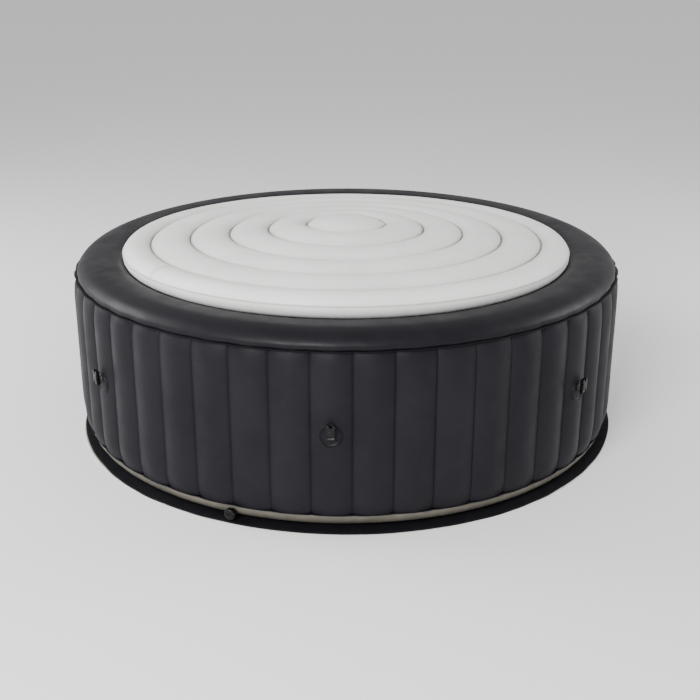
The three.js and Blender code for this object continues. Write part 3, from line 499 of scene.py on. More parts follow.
def spline(points: Sequence[Sequence[float]], steps: int) -> list[tuple[float, float]]:
    """A Catmull-Rom curve through the points, with steps pieces between each two."""
    p = np.array(points, float)
    p = np.vstack([2 * p[0] - p[1], p, 2 * p[-1] - p[-2]])
    out = []
    for i in range(1, len(p) - 2):
        a, b, c, d = p[i - 1 : i + 3]
        for k in range(steps):
            t = k / steps
            q = 0.5 * (2 * b + (c - a) * t + (2 * a - 5 * b + 4 * c - d) * t**2 + (3 * b - a - 3 * c + d) * t**3)
            out.append((float(q[0]), float(q[1])))
    out.append((float(p[-2][0]), float(p[-2][1])))
    return out


def thickened(outline: list[tuple[float, float]], thickness: float, keep: int = 3) -> list[tuple[float, float]]:
    """Close an open outline into a thin shell by stepping back along it on its inner side."""
    p = np.array(outline)
    along = np.gradient(p, axis=0)
    along /= np.linalg.norm(along, axis=1)[:, None]
    back = p + np.stack([-along[:, 1], along[:, 0]], 1) * thickness
    return outline + [tuple(q) for q in back[::-keep]]


def rounded_box(name: str, low: Sequence[float], high: Sequence[float], radius: float) -> bpy.types.Object:
    """A box with rounded edges."""
    x0, y0, z0 = low
    x1, y1, z1 = high
    points = np.array([(x, y, z) for x in (x0, x1) for y in (y0, y1) for z in (z0, z1)])
    faces = [(0, 1, 3, 2), (4, 6, 7, 5), (0, 4, 5, 1), (2, 3, 7, 6), (0, 2, 6, 4), (1, 5, 7, 3)]
    obj = solid(name, points, faces, smooth=False)
    if radius > 0:
        bevel(obj, radius)
    return obj


def settle(obj: bpy.types.Object) -> None:
    """Keep the shape that the modifiers make as the object's own plain mesh."""
    graph = bpy.context.evaluated_depsgraph_get()
    mesh = bpy.data.meshes.new_from_object(obj.evaluated_get(graph))
    obj.modifiers.clear()
    obj.data = mesh


def bevel(obj: bpy.types.Object, radius: float, segments: int = 3, angle: float = 35) -> None:
    """Round the sharp edges and shade the rest by angle."""
    step = obj.modifiers.new("bevel", "BEVEL")
    step.width = radius
    step.segments = segments
    step.limit_method = "ANGLE"
    step.angle_limit = math.radians(angle)
    step.harden_normals = False
    settle(obj)
    smooth_shaded(obj, angle)


def combine(obj: bpy.types.Object, part: bpy.types.Object, operation: str) -> None:
    """Cut a part out of the object or fuse it on, and throw the part away.

    Args:
        obj: Object that is kept.
        part: Object that is used up.
        operation: Blender's name of the Boolean operation.
    """
    step = obj.modifiers.new("combine", "BOOLEAN")
    step.operation = operation
    step.solver = "EXACT"
    step.object = part
    settle(obj)
    bpy.data.objects.remove(part)


def carve(obj: bpy.types.Object, *cutters: bpy.types.Object) -> None:
    """Cut the cutters out of the object."""
    for cutter in cutters:
        combine(obj, cutter, "DIFFERENCE")


def merge(name: str, parts: Sequence[bpy.types.Object]) -> bpy.types.Object:
    """Fuse several closed meshes into one closed mesh."""
    base = parts[0]
    base.name = name
    for part in parts[1:]:
        combine(base, part, "UNION")
    return base


def spun(degrees: float, axis: str) -> Matrix:
    """A turn about one axis.

    Args:
        degrees: Angle of the turn.
        axis: Name of the axis, X, Y or Z.

    Returns:
        The turn as a matrix.
    """
    return Matrix.Rotation(math.radians(degrees), 4, axis)


def move(obj: bpy.types.Object, matrix: Matrix) -> bpy.types.Object:
    """Move the mesh itself, so that the object stays at the origin."""
    obj.data.transform(matrix)
    obj.data.update()
    return obj


def copy_of(obj: bpy.types.Object, name: str, matrix: Matrix) -> bpy.types.Object:
    """A copy with its own mesh, moved by the matrix."""
    twin = obj.copy()
    twin.data = obj.data.copy()
    twin.name = name
    bpy.context.scene.collection.objects.link(twin)
    return move(twin, matrix)


def outward(name: str, outline: Sequence[Sequence[float]], sides: int, z: float, turn_deg: float) -> bpy.types.Object:
    """A round part whose own axis points straight out from the tub.

    Args:
        name: Name of the object.
        outline: Points of (radius about its own axis, distance from the tub axis).
        sides: Number of steps round.
        z: Height of its axis.
        turn_deg: Azimuth from the front towards +X.

    Returns:
        The new object.
    """
    obj = revolve(name, outline, sides)
    lay = spun(90, "X")
    turn = spun(turn_deg, "Z")
    return move(obj, turn @ Matrix.Translation((0, 0, z)) @ lay)


# ---- geometry node recipes --------------------------------------------------------------------


class Recipe:
    """A geometry node tree with named inputs that is run once on a plain mesh."""

    def __init__(self, name: str) -> None:
        self.tree = bpy.data.node_groups.new(name, "GeometryNodeTree")
        self.tree.interface.new_socket("Geometry", in_out="INPUT", socket_type="NodeSocketGeometry")
        self.tree.interface.new_socket("Geometry", in_out="OUTPUT", socket_type="NodeSocketGeometry")
        self.source = put(self.tree, "NodeGroupInput")

    def ask(self, name: str, default: object, kind: str = "NodeSocketFloat") -> bpy.types.NodeSocket:
        """Add a named input and return the socket that carries it."""
        item = self.tree.interface.new_socket(name, in_out="INPUT", socket_type=kind)
        if default is not None:
            item.default_value = default
        return self.source.outputs[name]

    def put(self, kind: str, inputs: dict | None = None, **settings: object) -> bpy.types.Node:
        """Add one node."""
        return put(self.tree, kind, inputs, **settings)

    def math(self, operation: str, *values: object) -> bpy.types.NodeSocket:
        """One math step on sockets or numbers."""
        return self.put("ShaderNodeMath", dict(enumerate(values)), operation=operation).outputs[0]

    def finish(self, geometry: bpy.types.NodeSocket) -> None:
        """End in Realize Instances and Set Material."""
        material = self.ask("Material", None, "NodeSocketMaterial")
        real = self.put("GeometryNodeRealizeInstances", {0: geometry}).outputs[0]
        dressed = self.put("GeometryNodeSetMaterial", {"Geometry": real, "Material": material}).outputs[0]
        self.put("NodeGroupOutput", {0: dressed})

    def run(self, obj: bpy.types.Object, **values: object) -> bpy.types.Object:
        """Run the tree on an object and keep the result as its plain mesh.

        Args:
            obj: Object whose mesh is the input geometry.
            **values: Inputs by name, with underscores for spaces.

        Returns:
            The same object.
        """
        step = obj.modifiers.new(self.tree.name, "NODES")
        step.node_group = self.tree
        named = {key.replace("_", " "): value for key, value in values.items()}
        for item in self.tree.interface.items_tree:
            if item.in_out == "INPUT" and item.name in named:
                step[item.identifier] = named[item.name]
        settle(obj)
        return obj


def around(r: Recipe) -> dict[str, bpy.types.NodeSocket]:
    """The sockets that describe where a point is round the tub axis."""
    place = r.put("GeometryNodeInputPosition").outputs[0]
    x, y, z = r.put("ShaderNodeSeparateXYZ", {0: place}).outputs[:3]
    flat = r.put("ShaderNodeCombineXYZ", {0: x, 1: y}).outputs[0]
    length = r.put("ShaderNodeVectorMath", {0: flat}, operation="LENGTH").outputs["Value"]
    away = r.put("ShaderNodeVectorMath", {0: flat}, operation="NORMALIZE").outputs["Vector"]
    turn = r.math("ARCTAN2", x, r.math("MULTIPLY", y, -1.0))
    return {"place": place, "z": z, "radius": length, "away": away, "turn": turn, "x": x, "y": y}


def stretched_noise(r: Recipe, place: object, seed: object, flat: float, tall: float) -> bpy.types.NodeSocket:
    """Noise from -1 to 1 with its own pitch across and up."""
    scaled = r.put("ShaderNodeVectorMath", {0: place, 1: (1 / flat, 1 / flat, 1 / tall)}, operation="MULTIPLY")
    inputs = {"Vector": scaled.outputs[0], "W": seed, "Scale": 1.0, "Detail": 2.0, "Roughness": 0.5}
    raw = r.put("ShaderNodeTexNoise", inputs, noise_dimensions="4D").outputs[0]
    return r.math("MULTIPLY_ADD", raw, 2.0, -1.0)


def gathered_skin() -> Recipe:
    """Ribs of an air wall whose valleys are pulled in by webs and whose seams gather into puckers."""
    r = Recipe("gathered_skin")
    ribs = r.ask("Ribs", float(RIBS))
    body = r.ask("Body Depth", 16 * MM)
    edge = r.ask("Edge Depth", 9 * MM)
    sharp = r.ask("Sharpness", 1.9)
    low = r.ask("Low Seam", 0.0)
    high = r.ask("High Seam", 1.0)
    reach = r.ask("Gather Length", 40 * MM)
    pucker = r.ask("Pucker", 2 * MM)
    ripple = r.ask("Ripple", 1 * MM)
    swell = r.ask("Swell", 1 * MM)
    crease_depth = r.ask("Crease Depth", 0.0)
    crease_width = r.ask("Crease Width", 0.05)
    bulge = r.ask("End Bulge", 0.0)
    seed = r.ask("Seed", 1.0)
    at = around(r)
    turns = r.math("MULTIPLY", at["turn"], r.math("DIVIDE", ribs, 2 * math.pi))
    across = r.math("MULTIPLY", r.math("ABSOLUTE", r.math("SUBTRACT", turns, r.math("ROUND", turns))), 2.0)
    gap = r.math("MINIMUM", r.math("SUBTRACT", at["z"], low), r.math("SUBTRACT", high, at["z"]))
    gap = r.math("MAXIMUM", gap, 0.0)
    near = r.math("EXPONENT", r.math("MULTIPLY", r.math("DIVIDE", gap, reach), -1.0))
    depth = r.math("ADD", r.math("MULTIPLY", body, r.math("SUBTRACT", 1.0, near)), r.math("MULTIPLY", edge, near))
    valley = r.math("MULTIPLY", r.math("POWER", across, sharp), depth)
    fold = stretched_noise(r, at["place"], seed, 16 * MM, 120 * MM)
    crease = r.math("MULTIPLY", r.math("MULTIPLY", fold, pucker), near)
    slant = stretched_noise(r, at["place"], seed, 30 * MM, 38 * MM)
    tension = r.math("MULTIPLY", r.math("MULTIPLY", slant, ripple), r.math("POWER", across, 2.0))
    slow = r.math("MULTIPLY", stretched_noise(r, at["place"], seed, 260 * MM, 300 * MM), swell)
    weld = r.math("EXPONENT", r.math("DIVIDE", r.math("SUBTRACT", across, 1.0), crease_width))
    pinch = r.math("MULTIPLY", weld, crease_depth)
    drop = r.math("ADD", r.math("ADD", valley, crease), r.math("ADD", r.math("ADD", tension, slow), pinch))
    skin = r.put("GeometryNodeInputNamedAttribute", {"Name": "skin"}, data_type="FLOAT").outputs[0]
    amount = r.math("MULTIPLY", r.math("MULTIPLY", drop, -1.0), skin)
    inwards = r.put("ShaderNodeVectorMath", {0: at["away"], "Scale": amount}, operation="SCALE").outputs[0]
    middle = r.math("MULTIPLY", r.math("ADD", low, high), 0.5)
    side = r.math("SIGN", r.math("SUBTRACT", at["z"], middle))
    full = r.math("SUBTRACT", 1.0, r.math("POWER", across, 3.0))
    push = r.math("MULTIPLY", r.math("MULTIPLY", bulge, r.math("POWER", near, 2.0)), r.math("MULTIPLY", full, side))
    upwards = r.put("ShaderNodeCombineXYZ", {2: r.math("MULTIPLY", push, skin)}).outputs[0]
    offset = r.put("ShaderNodeVectorMath", {0: inwards, 1: upwards}, operation="ADD").outputs[0]
    moved = r.put("GeometryNodeSetPosition", {"Geometry": r.source.outputs[0], "Offset": offset}).outputs[0]
    r.finish(moved)
    return r


def wrinkled_film() -> Recipe:
    """Radial puckers beside every groove weld of a ringed film, and round its outer edge."""
    r = Recipe("wrinkled_film")
    pitch = r.ask("Groove Pitch", 145.4 * MM)
    count = r.ask("Grooves", 5.0)
    reach = r.ask("Gather Length", 14 * MM)
    pucker = r.ask("Pucker", 1 * MM)
    edge = r.ask("Edge Radius", 0.8)
    rim = r.ask("Edge Pucker", 1 * MM)
    seed = r.ask("Seed", 1.0)
    at = around(r)
    ring = r.math("MINIMUM", r.math("MAXIMUM", r.math("ROUND", r.math("DIVIDE", at["radius"], pitch)), 1.0), count)
    gap = r.math("ABSOLUTE", r.math("SUBTRACT", at["radius"], r.math("MULTIPLY", ring, pitch)))
    near = r.math("EXPONENT", r.math("MULTIPLY", r.math("DIVIDE", gap, reach), -1.0))
    turn_x = r.math("DIVIDE", at["x"], r.math("MAXIMUM", at["radius"], 1 * MM))
    turn_y = r.math("DIVIDE", at["y"], r.math("MAXIMUM", at["radius"], 1 * MM))
    polar = r.put("ShaderNodeCombineXYZ", {0: turn_x, 1: turn_y, 2: at["radius"]}).outputs[0]
    radial = stretched_noise(r, polar, seed, 22 * MM, 160 * MM)
    folds = r.math("MULTIPLY", r.math("MULTIPLY", radial, pucker), near)
    outer = r.math("EXPONENT", r.math("DIVIDE", r.math("SUBTRACT", at["radius"], edge), 22 * MM))
    outer = r.math("MINIMUM", outer, 1.0)
    fine = stretched_noise(r, polar, seed, 14 * MM, 200 * MM)
    hem = r.math("MULTIPLY", r.math("MULTIPLY", fine, rim), outer)
    slow = r.math("MULTIPLY", stretched_noise(r, at["place"], seed, 240 * MM, 300 * MM), 1.2 * MM)
    lift = r.math("ADD", r.math("ADD", folds, hem), slow)
    normal = r.put("GeometryNodeInputNormal").outputs[0]
    offset = r.put("ShaderNodeVectorMath", {0: normal, "Scale": lift}, operation="SCALE").outputs[0]
    moved = r.put("GeometryNodeSetPosition", {"Geometry": r.source.outputs[0], "Offset": offset}).outputs[0]
    r.finish(moved)
    return r


def ring_of_parts() -> Recipe:
    """Copies of the input mesh, evenly round a circle about the tub axis."""
    r = Recipe("ring_of_parts")
    count = r.ask("Count", 24, "NodeSocketInt")
    radius = r.ask("Radius", 0.78)
    height = r.ask("Height", 0.07)
    circle = r.put("GeometryNodeMeshCircle", {"Vertices": count, "Radius": radius}).outputs[0]
    shift = r.put("ShaderNodeCombineXYZ", {2: height}).outputs[0]
    lifted = r.put("GeometryNodeSetPosition", {"Geometry": circle, "Offset": shift}).outputs[0]
    index = r.put("GeometryNodeInputIndex").outputs[0]
    step = r.math("DIVIDE", 2 * math.pi, count)
    turn = r.math("MULTIPLY", index, step)
    spin = r.put("ShaderNodeCombineXYZ", {2: turn}).outputs[0]
    placed = r.put(
        "GeometryNodeInstanceOnPoints", {"Points": lifted, "Instance": r.source.outputs[0], "Rotation": spin}
    ).outputs[0]
    r.finish(placed)
    return r


# ---- the object -------------------------------------------------------------------------------


def points_of(obj: bpy.types.Object) -> np.ndarray:
    """The object's points as rows."""
    co = np.empty(len(obj.data.vertices) * 3)
    obj.data.vertices.foreach_get("co", co)
    return co.reshape(-1, 3)


def polar(p: np.ndarray) -> tuple[np.ndarray, np.ndarray]:
    """Where points lie round the tub axis.

    Args:
        p: Points, one per row.

    Returns:
        Distance from the axis, and azimuth in radians from the front towards +X.
    """
    return np.hypot(p[:, 0], p[:, 1]), np.arctan2(p[:, 0], -p[:, 1])


def move_points(obj: bpy.types.Object, points: np.ndarray) -> None:
    """Write the object's points back."""
    obj.data.vertices.foreach_set("co", points.ravel())
    obj.data.update()


def smooth_shaded(obj: bpy.types.Object, angle: float) -> bpy.types.Object:
    """Shade smooth, with edges sharper than an angle in degrees kept crisp."""
    obj.data.polygons.foreach_set("use_smooth", [True] * len(obj.data.polygons))
    obj.data.set_sharp_from_angle(angle=math.radians(angle))
    return obj


@dataclass(frozen=True)
class Extent:
    """How far a CAD node reaches from the tub axis and up."""

    radius: float
    low: float
    high: float

    @classmethod
    def of(cls, node: str) -> "Extent":
        """Read the node's box."""
        low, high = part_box(node)
        return cls(max(high.x, -low.x), low.z, high.z)


@dataclass
class Workshop:
    """The finishes and node recipes that every sub-assembly shares."""

    materials: dict[Slot, bpy.types.Material] = field(default_factory=dict)

    def __post_init__(self) -> None:
        for finish in FINISHES:
            self.materials[finish.slot] = finish.build()
        self.gathered = gathered_skin()
        self.film = wrinkled_film()
        self.ring = ring_of_parts()

    def fit(self, obj: bpy.types.Object, slot: Slot, body: str, *replaced: str) -> bpy.types.Object:
        """Dress a finished piece and hang it on its body.

        Args:
            obj: The piece.
            slot: Its material slot.
            body: The CAD body that it rides on.
            *replaced: CAD nodes that it stands for.

        Returns:
            The piece.
        """
        obj.data.materials.clear()
        obj.data.materials.append(self.materials[slot])
        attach(obj, body)
        if replaced:
            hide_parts(*replaced)
        return obj

    def dress(self, slot: Slot, *nodes: str) -> None:
        """Give CAD nodes that stay in view their finish."""
        for name in nodes:
            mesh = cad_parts[name].data
            mesh.materials.clear()
            mesh.materials.append(self.materials[slot])


def mark(obj: bpy.types.Object, name: str, weight: np.ndarray) -> None:
    """Store one weight per point.

    Args:
        obj: Object whose mesh takes the layer.
        name: "skin" for what follows the gathers, "crease" for where painted groove shade and darker weld lines go.
        weight: One value per point, from 0 to 1.
    """
    layer = obj.data.attributes.new(name, "FLOAT", "POINT")
    layer.data.foreach_set("value", weight.astype(np.float32))


def crowd_to_valleys(obj: bpy.types.Object, power: float) -> None:
    """Slide the columns of a turned mesh towards the rib valleys, which need the finest relief."""
    p = points_of(obj)
    radius, turn = polar(p)
    ribs = turn * RIBS / (2 * math.pi)
    across = 2 * (ribs - np.round(ribs))
    slid = np.sign(across) * (1 - (1 - np.abs(across)) ** power)
    turn = (np.round(ribs) + slid / 2) * 2 * math.pi / RIBS
    p[:, 0], p[:, 1] = radius * np.sin(turn), -radius * np.cos(turn)
    move_points(obj, p)


@dataclass
class AirWall:
    """Ribbed outer wall, rim, welds and rounded base skin of the tub."""

    shop: Workshop
    sides: int = RIBS * 20
    rows: int = 56
    seam_radius: float = 1.003
    tuck: float = 2 * MM
    roll: float = 10.0
    belly: float = 18 * MM
    depth: float = 16 * MM
    seam_depth: float = 9 * MM
    well_radius: float = 0.8
    valve_hole: float = 21.3 * MM

    def build(self) -> None:
        """Build every skin from the ground up."""
        self.outer_wall()
        self.rim()
        self.base()
        self.welds()

    def crest(self, share: float) -> float:
        """Radius of the rib crests at a share of the wall's rise: straight, rolling over to the seams."""
        return self.seam_radius - self.tuck + self.belly * (1 - abs(2 * share - 1) ** self.roll)

    def outer_wall(self) -> None:
        """Forty-eight ribs drawn in at their valleys by the webs inside."""
        wall = Extent.of("outer_wall")
        shares = 0.5 - 0.5 * np.cos(np.linspace(0, math.pi, self.rows))
        front = [(self.crest(s), wall.low + (wall.high - wall.low) * s) for s in shares]
        back = [(r - self.depth - 2 * SKIN, z) for r, z in front[::-4]]
        obj = revolve("outer_wall_skin", front + back, self.sides)
        crowd_to_valleys(obj, 1.8)
        mark(obj, "skin", self.is_front(points_of(obj), wall))
        self.shop.gathered.run(
            obj,
            Body_Depth=self.depth,
            Edge_Depth=self.seam_depth,
            Low_Seam=wall.low,
            High_Seam=wall.high,
            Gather_Length=30 * MM,
            Pucker=2.6 * MM,
            Ripple=1.6 * MM,
            Swell=1.5 * MM,
            Crease_Depth=2.6 * MM,
            Crease_Width=0.035,
            End_Bulge=4 * MM,
            Seed=3.0,
            Material=self.shop.materials[Slot.WALL],
        )
        low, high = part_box("unit_pocket")
        window = rounded_box("window", (low.x, 0.7, low.z), (high.x, 1.2, high.z), 0)
        valve = Extent.of("air_valve_body")
        drill = [(0, 0.9), (self.valve_hole, 0.9), (self.valve_hole, 1.1), (0, 1.1)]
        hole = outward("hole", drill, 48, (valve.low + valve.high) / 2, AIR_VALVE_DEG)
        carve(obj, window, hole)
        self.shop.fit(obj, Slot.WALL, "tub", "outer_wall")

    def is_front(self, co: np.ndarray, wall: Extent) -> np.ndarray:
        """One on the outer face of the wall, zero on its inner face."""
        radius = np.hypot(co[:, 0], co[:, 1])
        share = np.clip((co[:, 2] - wall.low) / (wall.high - wall.low), 0, 1)
        crest = np.array([self.crest(float(s)) for s in share])
        return np.where(radius > crest - self.depth * 0.5, 1.0, 0.0)

    def rim(self) -> None:
        """Rounded top ring, gathered a little where each rib meets the weld."""
        ring = Extent.of("top_ring")
        seam = Extent.of("top_weld")
        low, rise = seam.high + 0.3 * MM, ring.high - (seam.low + seam.high) / 2
        mid = (seam.low + seam.high) / 2
        r, w = self.seam_radius, self.well_radius
        knots = [
            (r, low),
            (r - 4 * MM, mid + rise * 0.36),
            (r - 23 * MM, mid + rise * 0.70),
            (r - 50 * MM, mid + rise * 0.91),
            (r - 82 * MM, ring.high),
            (w + 68 * MM, mid + rise * 0.95),
            (w + 40 * MM, mid + rise * 0.75),
            (w + 22 * MM, mid + rise * 0.46),
            (w + 8 * MM, mid + rise * 0.08),
            (w, ring.low),
        ]
        outline = thickened(spline(knots, 6), SKIN)
        obj = revolve("rim_skin", outline, self.sides)
        mark(obj, "skin", np.ones(len(points_of(obj))))
        self.shop.gathered.run(
            obj,
            Body_Depth=0.3 * MM,
            Edge_Depth=3.2 * MM,
            Low_Seam=low,
            High_Seam=2.0,
            Gather_Length=11 * MM,
            Pucker=2.2 * MM,
            Ripple=0.5 * MM,
            Swell=1.6 * MM,
            Seed=8.0,
            Material=self.shop.materials[Slot.RIM],
        )
        self.shop.fit(obj, Slot.RIM, "tub", "top_ring")

    def base(self) -> None:
        """Beige base skin that rolls under the tub, notched where the ribs end."""
        skin = Extent.of("base_ring")
        foot = Extent.of("bottom_sheet").radius + 1.5 * MM
        reach, rise = self.seam_radius - 2 * MM - foot, skin.high - skin.low
        angles = np.linspace(0, math.pi / 2, 16)
        front = [(foot + reach * math.sin(a), skin.low + rise * (1 - math.cos(a))) for a in angles]
        obj = revolve("base_skin", thickened(front, SKIN), RIBS * 10)
        mark(obj, "skin", np.clip((points_of(obj)[:, 2] - skin.low) / rise, 0, 1))
        self.shop.gathered.run(
            obj,
            Body_Depth=1.5 * MM,
            Edge_Depth=7 * MM,
            Low_Seam=-1.0,
            High_Seam=skin.high,
            Gather_Length=16 * MM,
            Pucker=3.6 * MM,
            Ripple=1.4 * MM,
            Swell=2 * MM,
            Seed=5.0,
            Material=self.shop.materials[Slot.BASE],
        )
        self.shop.fit(obj, Slot.BASE, "tub", "base_ring")
        self.shop.dress(Slot.BASE, "bottom_sheet")

    def welds(self) -> None:
        """Weld flanges that stand out between the skins, scalloped rib by rib."""
        for node, trim, depth, pucker, seed in (
            ("top_weld", 6 * MM, 5 * MM, 3.5 * MM, 11.0),
            ("base_weld", 6 * MM, 4 * MM, 1.5 * MM, 17.0),
        ):
            ring = Extent.of(node)
            ring = Extent(ring.radius - trim, ring.low + 0.9 * MM, ring.high - 0.9 * MM)
            inner = self.seam_radius - 8 * MM
            mid = (ring.low + ring.high) / 2
            half = (ring.high - ring.low) / 2
            outline = [
                (inner, mid - half),
                (ring.radius - 6 * MM, mid - half),
                (ring.radius - 1 * MM, mid - half * 0.6),
                (ring.radius, mid),
                (ring.radius - 1 * MM, mid + half * 0.6),
                (ring.radius - 6 * MM, mid + half),
                (inner, mid + half),
            ]
            obj = revolve(f"{node}_flange", outline, RIBS * 16)
            mark(obj, "skin", np.clip((polar(points_of(obj))[0] - inner) / (ring.radius - inner), 0, 1))
            self.shop.gathered.run(
                obj,
                Body_Depth=depth,
                Edge_Depth=depth,
                Sharpness=3.0,
                Low_Seam=-1.0,
                High_Seam=mid,
                Gather_Length=1.0,
                Pucker=pucker,
                Ripple=1.5 * MM,
                Swell=1 * MM,
                Seed=seed,
                Material=self.shop.materials[Slot.WELD],
            )
            self.shop.fit(obj, Slot.WELD, "tub", node)


@dataclass
class Well:
    """Inner wall, padded floor, bubble channel with its jets, and the well's fittings."""

    shop: Workshop
    radius: float = 0.8
    jets: int = 110
    sump_half: float = 26 * MM
    sump_y: tuple[float, float] = (-0.82, -0.748)
    channel_width: float = 35 * MM

    def build(self) -> None:
        """Build the lined inside of the tub."""
        wall = Extent.of("inner_wall")
        heights = np.linspace(wall.low, wall.high, 24)
        face = [(self.radius - 1.2 * MM * math.sin(9 * math.pi * (z - wall.low)) ** 2, z) for z in heights]
        back = [(self.radius + SKIN, z) for z in heights[::-4]]
        liner = revolve("inner_wall_skin", face + back, 240)
        self.shop.fit(liner, Slot.LINER, "tub", "inner_wall")
        self.floor()
        self.channel()
        self.shop.dress(Slot.LINER, "brace_webs", "air_duct")

    def floor(self) -> None:
        """Floor pad with dimpled quilting welds in rings."""
        pad = Extent.of("floor_pad")
        radii = np.linspace(0, pad.radius - 8 * MM, 60)
        top = [(r, pad.high - 4 * MM * (0.5 - 0.5 * math.cos(2 * math.pi * r / 0.095)) ** 8) for r in radii]
        side = [(pad.radius - 3 * MM, pad.high - 3 * MM), (pad.radius, pad.high - 8 * MM)]
        side += [(pad.radius, pad.low), (0.0, pad.low)]
        obj = revolve("floor_pad_skin", top + side, 192)
        half, (far, near) = self.sump_half, self.sump_y
        sump = rounded_box("sump", (-half, far, pad.low + 3 * MM), (half, near, 0.2), 0)
        move(sump, spun(DRAIN_DEG, "Z"))
        carve(obj, sump)
        self.shop.fit(obj, Slot.LINER, "tub", "floor_pad")

    def channel(self) -> None:
        """Half-round bubble channel at the foot of the wall, and its row of jets."""
        tube = Extent.of("bubble_channel")
        rise, width = tube.high - tube.low, self.channel_width
        knots = [
            (tube.radius, tube.high),
            (tube.radius - width * 0.6, tube.low + rise * 0.87),
            (tube.radius - width * 0.93, tube.low + rise * 0.45),
            (tube.radius - width, tube.low),
        ]
        obj = revolve("bubble_channel_skin", spline(knots, 8) + [(tube.radius, tube.low)], 240)
        self.shop.fit(obj, Slot.LINER, "tub", "bubble_channel")
        nozzle = [(0, 1.6), (1.6, 1.6), (3.2, 1), (3.6, 0), (0, 0)]
        jet = revolve("bubble_jets", [(r * MM, z * MM) for r, z in nozzle], 12)
        move(jet, spun(-40, "Y"))
        self.shop.ring.run(
            jet,
            Count=self.jets,
            Radius=tube.radius - width * 0.74,
            Height=tube.low + rise * 0.76,
            Material=self.shop.materials[Slot.ACETAL],
        )
        self.shop.fit(jet, Slot.ACETAL, "tub")


@dataclass
class Mat:
    """Foam ground mat with its foil underside, lying slightly wavy at the rim."""

    shop: Workshop
    lift: float = 9 * MM
    curl: float = 90 * MM
    flat_front: float = 0.55
    lip_turn: float = 1.1
    lip_spread: float = 0.4
    lip_share: float = 0.007
    reach: float = 1.028

    def build(self) -> None:
        """Build the foam and the foil as two laid sheets, the foil showing as a lip on one side."""
        foam, foil = Extent.of("ground_mat"), Extent.of("mat_foil")
        for name, node, ext, slot, shy in (
            ("foil_sheet", "mat_foil", foil, Slot.FOIL, 0.0),
            ("foam_sheet", "ground_mat", foam, Slot.FOAM, self.lip_share),
        ):
            radii = list(np.linspace(0, ext.radius - self.curl, 6)) + list(
                np.linspace(ext.radius - self.curl, ext.radius - 1 * MM, 16)[1:]
            )
            top = [(r, ext.high) for r in radii] + [(ext.radius, (ext.high + ext.low) / 2)]
            bottom = [(r, ext.low) for r in radii[::-1]]
            obj = revolve(name, top + bottom, 360)
            self.wave(obj, shy)
            self.shop.fit(obj, slot, "tub", node)

    def wave(self, obj: bpy.types.Object, shy: float) -> None:
        """Lift the free rim in slow irregular waves, never under the ground, and draw its lip side in by a share."""
        p = points_of(obj)
        radius, turn = polar(p)
        free = np.clip((radius - (self.reach - self.curl)) / self.curl, 0, 1) ** 1.6
        free *= 1 - np.exp(-((turn / self.flat_front) ** 2))
        swing = 0.5 + 0.5 * np.sin(7 * turn + 0.6) * np.cos(3 * turn - 1.1)
        fine = 0.12 * np.sin(31 * turn) + 0.08 * np.sin(53 * turn + 2)
        p[:, 2] += self.lift * free * np.clip(swing + fine, 0, 1.2)
        reach = 1 - 0.003 * np.clip(np.sin(5 * turn + 2.2), 0, 1) * (radius > 0.9)
        reach -= shy * np.exp(-(((turn + self.lip_turn) / self.lip_spread) ** 2)) * (radius > 0.9)
        p[:, :2] *= reach[:, None]
        move_points(obj, p)


